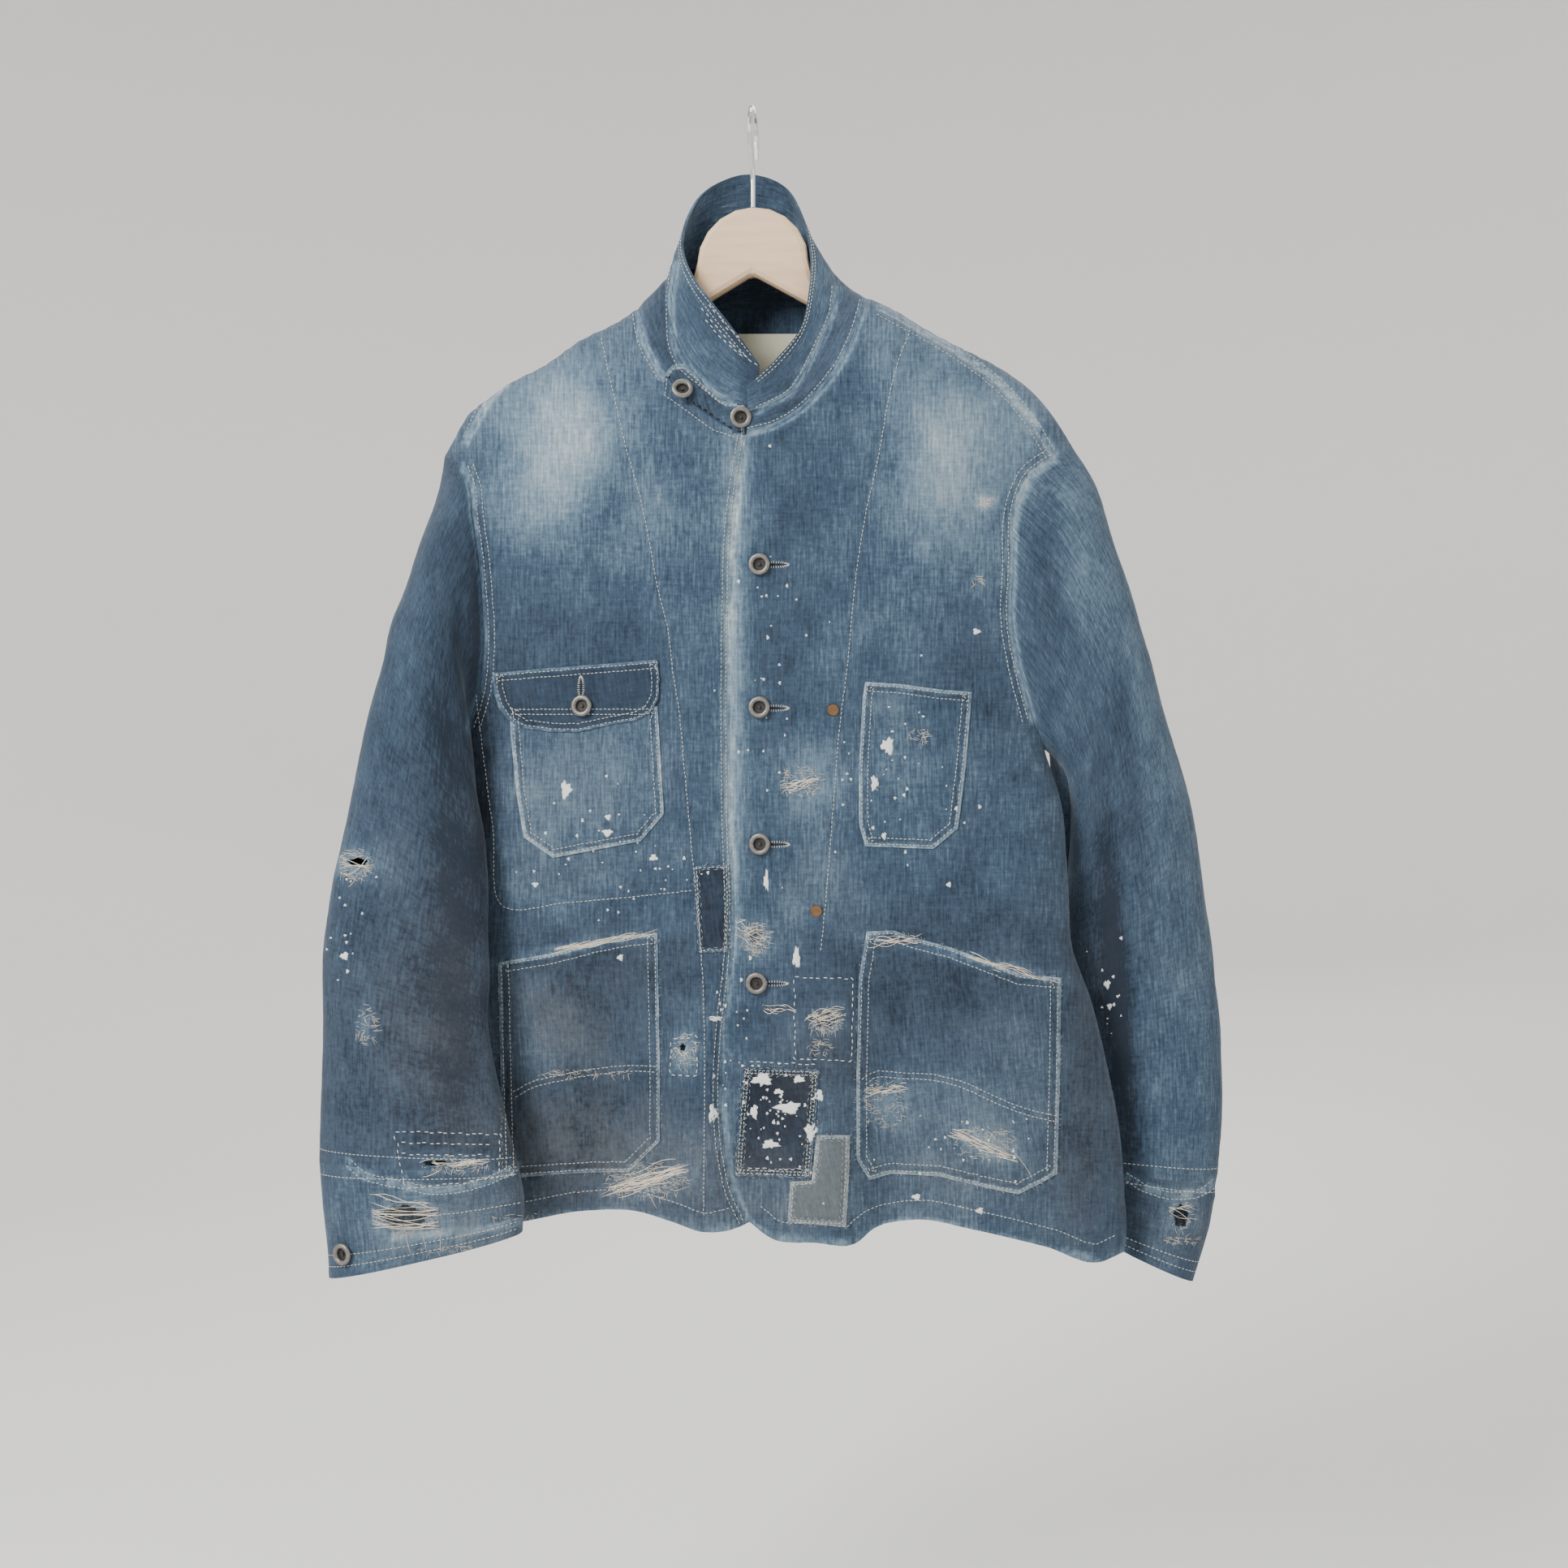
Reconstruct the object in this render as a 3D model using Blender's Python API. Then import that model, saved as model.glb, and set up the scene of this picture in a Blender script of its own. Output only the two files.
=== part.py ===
"""Denim work jacket with sewn-on patches, hanging buttoned on a wooden hanger.

Frame: +X to the wearer's left, +Y from the front to the wall, +Z up. The origin is the inside
top of the hanger's hook, where a rail or peg carries it. Outlines are measured in millimetres on
an upright plane through the front buttons, as an eye in front of the jacket sees them, and
placed() carries each point along its line of sight to its own depth.
"""

import math

import bmesh
import bpy
import numpy as np
from mathutils import Matrix, Vector
from mathutils.bvhtree import BVHTree

# Driving dimensions, in metres
MM = 0.001
EYE = (0.025, -1.400, -0.5405)
OUTLINE_DEPTH = -0.047
CLOTH = 1.5 * MM
COLLAR_CLOTH = 2.0 * MM
STRAP_CLOTH = 2.6 * MM
POCKET_CLOTH = 1.2 * MM
PATCH_CLOTH = 1.0 * MM
SEAM_GAP = 0.4 * MM
LAP = 3.4 * MM
FRONT_FULLNESS = 0.052
BACK_FULLNESS = 0.042
SHOULDER_ROUND = 0.110
BODY_CURVE = 2.2
HANGER_TURN = 0.12
BUTTON_RADIUS = 8.5 * MM
BUTTON_HEIGHT = 4.2 * MM
RIVET_RADIUS = 4.6 * MM
WOOD_THICKNESS = 13.0 * MM
WOOD_DOME_RADIUS = 0.045
WOOD_DOME_CENTRE = -0.1227
WOOD_ARM_DEPTH = 0.0225
WOOD_HALF_WIDTH = 0.200
WOOD_REST_DROP = 8.5 * MM
HOOK_INNER_RADIUS = 0.018
HOOK_WIRE_RADIUS = 1.9 * MM

# Mesh density: rows and columns between the sewing lines
ARMHOLE_ROWS = 8
SIDE_ROWS = 11
NECK_COLUMNS = 8
BACK_NECK_COLUMNS = 5
SHOULDER_COLUMNS = 7
SLEEVE_ROWS = 14
CUFF_ROWS = 3
STAND_ROWS = 2
LEAF_ROWS = 4
NECK_CROWDING = 1.35
TOP_CROWDING = 1.4

# Outlines of the wearer's left half, in millimetres: (across, up)
LEFT = {
    "neck": [(-4, -270), (18, -263), (37, -252), (55, -233), (68, -217), (77, -198), (84, -180), (89, -163)],
    "ridge": [(89, -163), (106, -170), (128, -183), (152, -196), (175, -208), (199, -222), (218, -236),
              (234, -255), (249, -279)],
    "armhole": [(249, -279), (234, -287), (215, -301), (208, -314), (204, -331), (203, -372),
                (202, -413), (207, -449), (218, -490), (228, -515)],
    "side": [(228, -515), (239, -549), (245, -600), (249, -665), (265, -711), (280, -776), (289, -850),
             (291, -887), (289, -904)],
    "hem": [(-3, -880), (16, -894), (48, -897), (80, -898), (96, -885), (127, -879), (173, -887),
            (228, -900), (271, -912), (289, -904)],
    "edge": [(-4, -270), (-12, -331), (-16, -413), (-16, -561), (-14, -671), (-21, -737), (-23, -774),
             (-20, -828), (-13, -858), (-3, -880)],
}
# Outlines of the wearer's right half, whose front edge runs on under the left half
RIGHT = {
    "neck": [(22, -264), (-4, -270), (-18, -264), (-37, -252), (-55, -237), (-69, -221), (-77, -206),
             (-83, -192), (-89, -171)],
    "ridge": [(-89, -171), (-120, -190), (-142, -204), (-164, -216), (-191, -231), (-207, -244),
              (-219, -255), (-229, -271), (-238, -286)],
    "armhole": [(-238, -286), (-224, -294), (-219, -310), (-217, -331), (-213, -360), (-210, -391),
                (-208, -430), (-211, -468), (-220, -498), (-233, -518)],
    "side": [(-233, -518), (-243, -560), (-248, -620), (-254, -680), (-264, -740), (-272, -800),
             (-277, -850), (-279, -892)],
    "hem": [(8, -876), (-20, -888), (-37, -889), (-62, -881), (-91, -872), (-130, -872), (-175, -880),
            (-230, -889), (-279, -892)],
    "edge": [(22, -264), (20, -400), (18, -600), (16, -760), (14, -830), (8, -876)],
}
BACK_SEAM = [(3, -172), (6, -300), (6, -500), (5, -700), (4, -860)]
BACK_HEM_LIFT = 24
CHEST_WIDTH = [(240, -468), (248, -400), (260, -282)]

# Collar lines from the wearer's right front round the back to the left: (across, up, depth)
STAND_TOP = [(4, -250, -47), (-26, -240, -45), (-52, -209, -32), (-63, -180, -17), (-66, -150, 3),
             (-50, -141, 26), (0, -143, 36), (32, -141, 31), (53, -140, 17), (64, -144, -1),
             (66, -157, -17), (61, -178, -31), (51, -204, -41), (30, -238, -49), (-3, -252, -51)]
LEAF_EDGE = [(6, -215, -37), (-12, -190, -36), (-30, -167, -30), (-45, -147, -21), (-54, -124, -8),
             (-39, -82, 18), (-1, -68, 38), (25, -76, 31), (39, -97, 13), (46, -124, -8),
             (45, -155, -27), (38, -186, -40), (20, -209, -47), (-4, -232, -50)]

# Sleeve rails down the outer and the inner fold: (across, up, depth)
LEFT_SLEEVE = {
    "outer": [(249, -279, -30), (265, -304, -27), (281, -353, -22), (297, -405, -17), (314, -462, -12),
              (335, -536, -7), (348, -598, -4), (355, -653, -2), (361, -700, -1), (365, -774, -2),
              (361, -848, -4)],
    "inner": [(228, -515, -27), (241, -528, -25), (247, -550, -16), (247, -580, -3), (244, -620, 10),
              (243, -690, 18), (248, -760, 20), (254, -835, 19)],
    "cuff_outer": [(361, -848, -4), (357, -880, -5), (343, -926, -8)],
    "cuff_inner": [(254, -835, 19), (256, -862, 18), (260, -886, 16)],
    "front": [(0.0, 26), (0.3, 30), (0.6, 29), (1.0, 24)],
    "back": [(0.0, 24), (0.3, 26), (0.6, 26), (1.0, 22)],
    "front_fold": [(0.0, 0), (1.0, 0)],
    "back_fold": [(0.0, 0), (0.1, -6), (0.2, -16), (0.45, -10), (0.7, 0), (1.0, 0)],
}
RIGHT_SLEEVE = {
    "outer": [(-238, -286, 28.6), (-243, -310, 20), (-256, -348, 8), (-282, -430, -8), (-301, -499, -18),
              (-319, -590, -28), (-330, -649, -34), (-333, -700, -37), (-333, -757, -40),
              (-334, -832, -44)],
    "inner": [(-233, -518, 28), (-244, -530, 26), (-251, -556, 20), (-248, -600, 8), (-238, -650, -8),
              (-220, -710, -30), (-199, -770, -51), (-181, -837, -68)],
    "cuff_outer": [(-334, -832, -44), (-331, -875, -45), (-327, -922, -46)],
    "cuff_inner": [(-181, -837, -68), (-177, -862, -69), (-178, -888, -70)],
    "front": [(0.0, 26), (0.1, 38), (0.3, 38), (0.6, 33), (1.0, 25)],
    "back": [(0.0, 20), (0.3, 22), (0.6, 25), (1.0, 22)],
    "front_fold": [(0.0, 0), (0.07, 8), (0.15, 32), (0.27, 50), (0.42, 52), (0.6, 38), (0.85, 8), (1.0, 0)],
    "back_fold": [(0.0, 0), (1.0, 0)],
}
SLEEVE_SECTION = 2.3
SLEEVE_SETTLE = 0.30
INNER_CROWDING = 1.35
MITRE_HOLD = 0.04
MITRE_LIMIT = 2.0

# Creases that stand towards the viewer (+) or sink away (-), all in millimetres:
# upper end, lower end, half-width and height
CREASES = [
    ((-92, -640), (-114, -950), 34, -15),
    ((-50, -660), (-40, -950), 26, 10),
    ((-150, -700), (-168, -950), 26, 6),
    ((52, -690), (64, -950), 30, 9),
    ((102, -680), (118, -950), 28, -14),
    ((186, -560), (222, -950), 44, 9),
    ((170, -240), (120, -430), 34, 5),
    ((-170, -250), (-116, -440), 34, 6),
    ((-204, -440), (-150, -640), 20, -4),
    ((214, -430), (176, -640), 22, -5),
]
BACK_CREASES = [
    ((-150, -560), (-180, -950), 36, 9),
    ((-70, -620), (-84, -950), 34, -8),
    ((40, -600), (52, -950), 36, 9),
    ((130, -560), (150, -950), 36, -8),
    ((210, -540), (236, -950), 30, 7),
    ((-120, -260), (-60, -420), 40, 4),
    ((120, -260), (60, -420), 40, 4),
]

# Outlines of what is sewn on the fronts, in millimetres
FLAP_POCKET = [(-188, -480), (-187, -500), (-183, -546), (-177, -582), (-154, -598), (-86, -585), (-68, -564),
               (-73, -480)]
FLAP = [(-200, -454), (-200, -466), (-196, -480), (-189, -490), (-177, -497), (-154, -500), (-134, -500),
        (-111, -495), (-89, -491), (-78, -485), (-72, -474), (-71, -459), (-73, -444)]
CHEST_POCKET = [(88, -461), (117, -463), (146, -467), (171, -469), (166, -527), (160, -575), (141, -591),
                (88, -589), (83, -571), (83, -527), (86, -473)]
RIGHT_HIP_POCKET = [(-197, -679), (-156, -672), (-122, -663), (-96, -658), (-73, -656), (-71, -755),
                    (-71, -818), (-95, -842), (-122, -842), (-156, -844), (-193, -847)]
LEFT_HIP_POCKET = [(89, -655), (110, -654), (127, -660), (154, -667), (175, -675), (208, -688), (240, -691),
                   (239, -767), (237, -843), (223, -851), (207, -859), (182, -854), (145, -845),
                   (108, -843), (91, -848), (81, -832), (81, -767), (83, -691)]
EDGE_PATCH = [(-45, -604), (-31, -603), (-17.5, -603), (-17, -638), (-18, -671), (-42, -672)]
DARK_PATCH = [(-7, -760), (24, -761), (53, -762), (50, -800), (46, -847), (14, -846), (-14, -845), (-11, -802)]
CORNER_PATCH = [(50.5, -813), (76, -813), (75, -849), (73, -884.5), (28, -881), (30, -849), (46.5, -848.5)]
BACKING_PATCH = [(35, -696), (77, -698), (76, -751), (34, -749)]
STRAP = [(-5.5, -276), (-31, -268), (-70, -240), (-68, -224), (-62, -216), (-52, -215), (-43, -223),
         (-31, -235), (-21, -244), (-5, -245)]

# Rips cut right through: centre across and up, half width, half height
RIPS = {
    "front_left": [(3, -659, 5.2, 5.4), (58, -724, 8.6, 6.4)],
    "front_right": [(-53.5, -745, 2.4, 3.2)],
    "sleeve_right_front": [(-306, -601, 8.5, 3.4), (-244, -835, 12.5, 2.5)],
    "cuff_right_front": [(-269, -877, 20, 10)],
    "cuff_left_front": [(333, -876, 6.3, 9.7)],
}
FRONT_BUTTONS = [(6, -370), (6, -481), (6.5, -587), (3.8, -695)]
RIVETS = [(63, -483), (50, -639)]
STRAP_BUTTONS = [(-54, -235), (-8.7, -256)]
FLAP_BUTTON = (-131.5, -480)
RIGHT_CUFF_BUTTON = (-316.5, -905)
LEFT_CUFF_BUTTON = (338, -900)

DENIM = (0.105, 0.185, 0.300)
PALE_DENIM = (0.200, 0.285, 0.380)
DARK_DENIM = (0.040, 0.080, 0.150)
LINEN = (0.700, 0.620, 0.500)
PEWTER = (0.300, 0.285, 0.260)
COPPER = (0.460, 0.230, 0.110)
MAPLE = (0.720, 0.510, 0.320)
CHROME = (0.700, 0.710, 0.720)


def clear_scene():
    for old in list(bpy.data.objects):
        bpy.data.objects.remove(old, do_unlink=True)


def material(name, colour, roughness=0.9, metallic=0.0):
    made = bpy.data.materials.new(name)
    made.use_nodes = True
    shader = made.node_tree.nodes["Principled BSDF"]
    shader.inputs["Base Color"].default_value = (*colour, 1.0)
    shader.inputs["Roughness"].default_value = roughness
    shader.inputs["Metallic"].default_value = metallic
    return made


def graph(points):
    """Smooth single-valued curve through (place, value) pairs, level beyond its ends."""
    place, value = np.array(points, float).T
    slope = np.gradient(value, place)

    def at(query):
        query = np.clip(query, place[0], place[-1])
        i = np.clip(np.searchsorted(place, query, side="right") - 1, 0, len(place) - 2)
        step = place[i + 1] - place[i]
        u = (query - place[i]) / step
        return ((2 * u**3 - 3 * u**2 + 1) * value[i] + (u**3 - 2 * u**2 + u) * step * slope[i]
                + (3 * u**2 - 2 * u**3) * value[i + 1] + (u**3 - u**2) * step * slope[i + 1])

    return at


def curve(points):
    """Smooth curve through points, as a function of 0 to 1 along its length."""
    points = np.array(points, float)
    length = np.r_[0.0, np.cumsum(np.linalg.norm(np.diff(points, axis=0), axis=1))]
    parts = [graph(list(zip(length / length[-1], column))) for column in points.T]
    return lambda t: np.stack([part(np.asarray(t, float)) for part in parts], axis=-1)


def placed(across, up, depth):
    """World point, in metres, of a point of the outline plane carried to its own depth."""
    across, up, depth = (np.asarray(value, float) * MM for value in (across, up, depth))
    scale = (depth - EYE[1]) / (OUTLINE_DEPTH - EYE[1])
    x = EYE[0] + (across - EYE[0]) * scale
    z = EYE[2] + (up - EYE[2]) * scale
    return np.stack([x, depth + 0 * x, z], axis=-1)


def smooth_step(value):
    value = np.clip(value, 0.0, 1.0)
    return value * value * (3.0 - 2.0 * value)


def crease_height(across, up, creases):
    """Sum of the soft ridges and troughs, each fading in over a fifth of its length."""
    total = np.zeros(np.broadcast(across, up).shape)
    for (x0, z0), (x1, z1), width, height in creases:
        long = math.hypot(x1 - x0, z1 - z0)
        along = ((across - x0) * (x1 - x0) + (up - z0) * (z1 - z0)) / long
        side = ((across - x0) * (z1 - z0) - (up - z0) * (x1 - x0)) / long
        fade = smooth_step(along / (0.35 * long)) * smooth_step((long - along) / (0.2 * long))
        total += height * np.exp(-(side / width) ** 2) * fade
    return total


RIDGE_LEFT = graph(LEFT["ridge"])
RIDGE_RIGHT = graph(RIGHT["ridge"][::-1])
WIDTH_LEFT = graph(sorted((z, x) for x, z in LEFT["side"] + CHEST_WIDTH))
WIDTH_RIGHT = graph(sorted((z, abs(x)) for x, z in RIGHT["side"] + CHEST_WIDTH))
LAP_EDGE = graph([(z, x) for x, z in LEFT["edge"]][::-1])
NECK_RISE = 45.0
NECK_HALF = 89.0


def ridge_height(across):
    """Height of the shoulder line, carried on over the neck hole as a low arch."""
    side = np.where(across > 0, RIDGE_LEFT(across), RIDGE_RIGHT(across))
    inside = np.clip(1.0 - (across / NECK_HALF) ** 2, 0.0, 1.0)
    return side + NECK_RISE * inside


def middle_depth(across):
    """The hanger is turned, so the wearer's left half stands nearer the viewer."""
    return -HANGER_TURN * across


def body_round(across, up):
    """0 at the side seams and on the shoulder line, 1 where the body stands fullest."""
    width = np.where(across > 0, WIDTH_LEFT(up), WIDTH_RIGHT(up))
    share = np.clip(np.abs(across) / width, 0.0, 1.0)
    round_side = (1.0 - share**BODY_CURVE) ** (1.0 / BODY_CURVE)
    below = np.clip((ridge_height(across) - up) * MM / SHOULDER_ROUND, 0.0, 1.0)
    round_top = (1.0 - (1.0 - below) ** BODY_CURVE) ** (1.0 / BODY_CURVE)
    return round_side * round_top


def front_depth(across, up, lapped=False):
    round_share = body_round(across, up)
    depth = middle_depth(across) - FRONT_FULLNESS / MM * round_share
    depth = depth - crease_height(across, up, CREASES) * round_share
    if lapped:
        depth = depth + LAP / MM * smooth_step((across - LAP_EDGE(up) + 14.0) / 11.0)
    return depth


def back_depth(across, up):
    round_share = body_round(across, up)
    depth = middle_depth(across) + BACK_FULLNESS / MM * round_share
    return depth + crease_height(across, up, BACK_CREASES) * round_share


def samples(count, power=1.0):
    return np.linspace(0.0, 1.0, count + 1) ** power


def patch_between(top, bottom, inner, outer, rows):
    """Grid over four border lines, whose own bends fade out towards the middle."""
    v = rows[:, None, None]
    u = np.linspace(0.0, 1.0, len(top))[None, :, None]
    top_chord = top[0] * (1 - u) + top[-1] * u
    bottom_chord = bottom[0] * (1 - u) + bottom[-1] * u
    inner_chord = inner[0] * (1 - v) + inner[-1] * v
    outer_chord = outer[0] * (1 - v) + outer[-1] * v
    return (top_chord * (1 - v) + bottom_chord * v
            + (top[None] - top_chord) * (1 - v) ** 3 + (bottom[None] - bottom_chord) * v**4
            + (inner[:, None] - inner_chord) * (1 - u) ** 2 + (outer[:, None] - outer_chord) * u**2)


def body_grid(half, inner_line, neck_line, neck_columns, hem_lift=0.0):
    """Across and up of one body panel: neck and shoulder on top, armhole and side outside."""
    neck = curve(neck_line)(1.0 - samples(neck_columns, NECK_CROWDING)[::-1])
    shoulder = curve(half["ridge"])(samples(SHOULDER_COLUMNS))
    top = np.vstack([neck, shoulder[1:]])
    armhole = curve(half["armhole"])(samples(ARMHOLE_ROWS, TOP_CROWDING))
    side = curve(half["side"])(samples(SIDE_ROWS))
    outer = np.vstack([armhole, side[1:]])
    down = np.r_[samples(ARMHOLE_ROWS, TOP_CROWDING) * 0.38, 0.38 + samples(SIDE_ROWS)[1:] * 0.62]
    inner = curve(inner_line)(down)
    bottom = curve(half["hem"])(np.linspace(0.0, 1.0, len(top)))
    if hem_lift:
        share = np.linspace(1.0, 0.0, len(top)) ** 0.5
        bottom = np.stack([inner[-1, 0] + (outer[-1, 0] - inner[-1, 0]) * (1 - share**2),
                           outer[-1, 1] + (inner[-1, 1] - outer[-1, 1]) * share], axis=-1)
    return patch_between(top, bottom, inner, outer, down)


def sleeve_grid(rails, loop_front, loop_back):
    """World points of the sleeve and its cuff, front half and back half, from the armhole."""
    outer, inner = curve(rails["outer"]), curve(rails["inner"])
    cuff_outer, cuff_inner = curve(rails["cuff_outer"]), curve(rails["cuff_inner"])
    front, back = graph(rails["front"]), graph(rails["back"])
    turn = np.pi * np.linspace(0.0, 1.0, ARMHOLE_ROWS + 1)
    power = 2.0 / SLEEVE_SECTION
    along = np.sign(np.cos(turn)) * np.abs(np.cos(turn)) ** power
    across = np.abs(np.sin(turn)) ** power
    fold_share = np.abs(np.sin(turn)) ** 0.6 * (1.0 - np.cos(turn)) / 1.4

    def section(out, inn, depth, sign, fold=0.0):
        out, inn = placed(*out), placed(*inn)
        axis = out - inn
        half = np.linalg.norm(axis) / 2
        axis = axis / (2 * half)
        way = np.array([0.0, sign, 0.0])
        way = way - axis * way.dot(axis)
        way = way / np.linalg.norm(way)
        ring = (out + inn) / 2 + along[:, None] * half * axis + across[:, None] * depth * MM * way
        return ring + fold_share[:, None] * np.array([fold * MM, 0.0, 0.0])

    halves = []
    front_fold, back_fold = graph(rails["front_fold"]), graph(rails["back_fold"])
    sides = ((-1.0, front, loop_front, front_fold), (1.0, back, loop_back, back_fold))
    for sign, depth, loop, fold in sides:
        start = section(outer(0.0), inner(0.0), depth(0.0), sign)
        rows = []
        for t in samples(SLEEVE_ROWS, 1.1):
            settle = max(0.0, 1.0 - t / SLEEVE_SETTLE) ** 2
            rows.append(section(outer(t), inner(t**INNER_CROWDING), depth(t), sign, fold(t))
                        + (loop - start) * settle)
        cuff = [section(cuff_outer(t), cuff_inner(t), depth(1.0), sign) for t in samples(CUFF_ROWS)]
        halves.append((np.array(rows), np.array(cuff)))
    return halves


class Panel:
    """Grid of outer points, with the normals it shares with the panels it is sewn to."""

    def __init__(self, points, turned, thickness=CLOTH):
        self.points = points
        self.turned = turned
        self.thickness = thickness
        self.normals = None
        rows, columns = points.shape[:2]
        number = np.arange(rows * columns).reshape(rows, columns)
        a, b, c, d = number[:-1, :-1], number[:-1, 1:], number[1:, 1:], number[1:, :-1]
        flat = points.reshape(-1, 3)
        short = (np.linalg.norm(flat[a] - flat[c], axis=-1) < np.linalg.norm(flat[b] - flat[d], axis=-1))
        self.triangles = []
        for i in np.ndindex(a.shape):
            p, q, r, s = a[i], b[i], c[i], d[i]
            pair = [(p, q, r), (p, r, s)] if short[i] else [(p, q, s), (q, r, s)]
            self.triangles += [t[::-1] for t in pair] if turned else pair


def share_normals(panels):
    """Mitred normals: panels that meet at a point offset it along one common direction."""
    flat = np.vstack([p.points.reshape(-1, 3) for p in panels])
    _, weld = np.unique(np.round(flat / 1e-6).astype(np.int64), axis=0, return_inverse=True)
    weld = weld.reshape(-1)
    total = np.zeros((weld.max() + 1, 3))
    corners = []
    start = 0
    for panel in panels:
        points = panel.points.reshape(-1, 3)
        for tri in panel.triangles:
            p = points[list(tri)]
            normal = np.cross(p[1] - p[0], p[2] - p[0])
            size = np.linalg.norm(normal)
            if size < 1e-12:
                continue
            normal /= size
            for k in range(3):
                e1, e2 = p[(k + 1) % 3] - p[k], p[(k + 2) % 3] - p[k]
                cosine = e1.dot(e2) / (np.linalg.norm(e1) * np.linalg.norm(e2))
                angle = math.acos(max(-1.0, min(1.0, cosine)))
                corners.append((weld[start + tri[k]], normal, angle))
        start += len(points)
    faces = np.zeros((len(total), 3, 3))
    weight = np.zeros(len(total))
    for place, normal, angle in corners:
        total[place] += normal * angle
        faces[place] += np.outer(normal, normal) * angle
        weight[place] += angle
    mean = total / np.linalg.norm(total, axis=1, keepdims=True)
    hold = MITRE_HOLD * weight
    faces += np.eye(3) * hold[:, None, None]
    mitre = np.linalg.solve(faces, (total + mean * hold[:, None])[..., None])[..., 0]
    mitre *= np.minimum(1.0, MITRE_LIMIT / np.linalg.norm(mitre, axis=1, keepdims=True))
    full = mitre[weld]
    start = 0
    for panel in panels:
        count = panel.points.shape[0] * panel.points.shape[1]
        panel.normals = full[start:start + count].reshape(panel.points.shape)
        start += count


def pulled_in(points, gap):
    """Draws the grid's border in by gap, square to the seam, so that a seam keeps a little room."""
    moved = points.copy()
    for old, new in ((points, moved), (points[::-1], moved[::-1]),
                     (points.transpose(1, 0, 2), moved.transpose(1, 0, 2)),
                     (points.transpose(1, 0, 2)[::-1], moved.transpose(1, 0, 2)[::-1])):
        along = np.gradient(old[0], axis=0)
        along /= np.linalg.norm(along, axis=-1, keepdims=True)
        inward = old[1] - old[0]
        inward -= along * np.sum(inward * along, axis=-1, keepdims=True)
        new[0] += inward / np.linalg.norm(inward, axis=-1, keepdims=True) * gap
    return moved


def wall_mesh(name, panel, near, far):
    """Closed wall between two offsets of a panel: near and far are heights over its outer face."""
    rows, columns = panel.points.shape[:2]
    count = rows * columns
    outer = panel.points + panel.normals * far
    inner = panel.points + panel.normals * near
    top = pulled_in(outer, SEAM_GAP / 2).reshape(-1, 3)
    base = pulled_in(inner, SEAM_GAP / 2).reshape(-1, 3)
    outer, inner = outer.reshape(-1, 3), inner.reshape(-1, 3)
    number = np.arange(count).reshape(rows, columns)
    ring = [*number[0, :-1], *number[:-1, -1], *number[-1, :0:-1], *number[:0:-1, 0]]
    faces = [tuple(int(i) for i in t) for t in panel.triangles]
    faces += [tuple(int(i) + count for i in t[::-1]) for t in panel.triangles]
    for i, here in enumerate(ring):
        here, after = int(here), int(ring[(i + 1) % len(ring)])
        falls = np.linalg.norm(outer[here] - inner[after]) + 1e-9
        if falls < np.linalg.norm(outer[after] - inner[here]):
            faces += [(here, here + count, after + count), (here, after + count, after)]
        else:
            faces += [(here, here + count, after), (here + count, after + count, after)]
    mesh = bpy.data.meshes.new(name)
    mesh.from_pydata(np.vstack([top, base]).tolist(), [], faces)
    close_mesh(mesh)
    return mesh


def close_mesh(mesh):
    work = bmesh.new()
    work.from_mesh(mesh)
    bmesh.ops.recalc_face_normals(work, faces=work.faces)
    work.to_mesh(mesh)
    work.free()
    mesh.shade_smooth()
    mesh.set_sharp_from_angle(angle=math.radians(50))


def add_object(name, mesh, colour):
    thing = bpy.data.objects.new(name, mesh)
    bpy.context.collection.objects.link(thing)
    mesh.materials.append(colour)
    return thing


def prism(name, outline, near=-160.0, far=45.0):
    """Hidden cutter: an outline run along the lines of sight between two depths."""
    across, up = np.array(outline, float).T
    ends = [placed(across, up, near), placed(across, up, far)]
    count = len(outline)
    faces = [tuple(range(count)), tuple(range(2 * count - 1, count - 1, -1))]
    faces += [(i, (i + 1) % count, count + (i + 1) % count, count + i) for i in range(count)]
    mesh = bpy.data.meshes.new(name)
    mesh.from_pydata(np.vstack(ends).tolist(), [], faces)
    close_mesh(mesh)
    tool = bpy.data.objects.new(name, mesh)
    bpy.context.collection.objects.link(tool)
    tool.hide_render = True
    tool.display_type = "WIRE"
    return tool


def boolean(thing, tool, operation):
    cut = thing.modifiers.new(tool.name, "BOOLEAN")
    cut.operation = operation
    cut.solver = "EXACT"
    cut.object = tool


def sewn_on(name, panel, outline, near, far, colour):
    """A piece laid on a panel: the panel's own points moved out, trimmed to the outline."""
    thing = add_object(name, wall_mesh(name, panel, near, far), colour)
    boolean(thing, prism("trim_" + name, outline), "INTERSECT")
    return thing


def rip_outline(centre, index):
    """Ragged closed outline of a rip, with teeth that follow a fixed rule."""
    across, up, half_width, half_height = centre
    points = []
    for k in range(11):
        turn = 2.0 * math.pi * k / 11
        reach = 0.86 + 0.14 * math.sin(5.0 * turn + index)
        points.append((across + half_width * reach * math.cos(turn), up + half_height * reach * math.sin(turn)))
    return points


def cut_rips(things, depths):
    for name, rips in RIPS.items():
        near, far = depths[name]
        for index, rip in enumerate(rips):
            tool = prism(f"rip_{name}_{index}", rip_outline(rip, index), near, far)
            boolean(things[name], tool, "DIFFERENCE")


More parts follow.
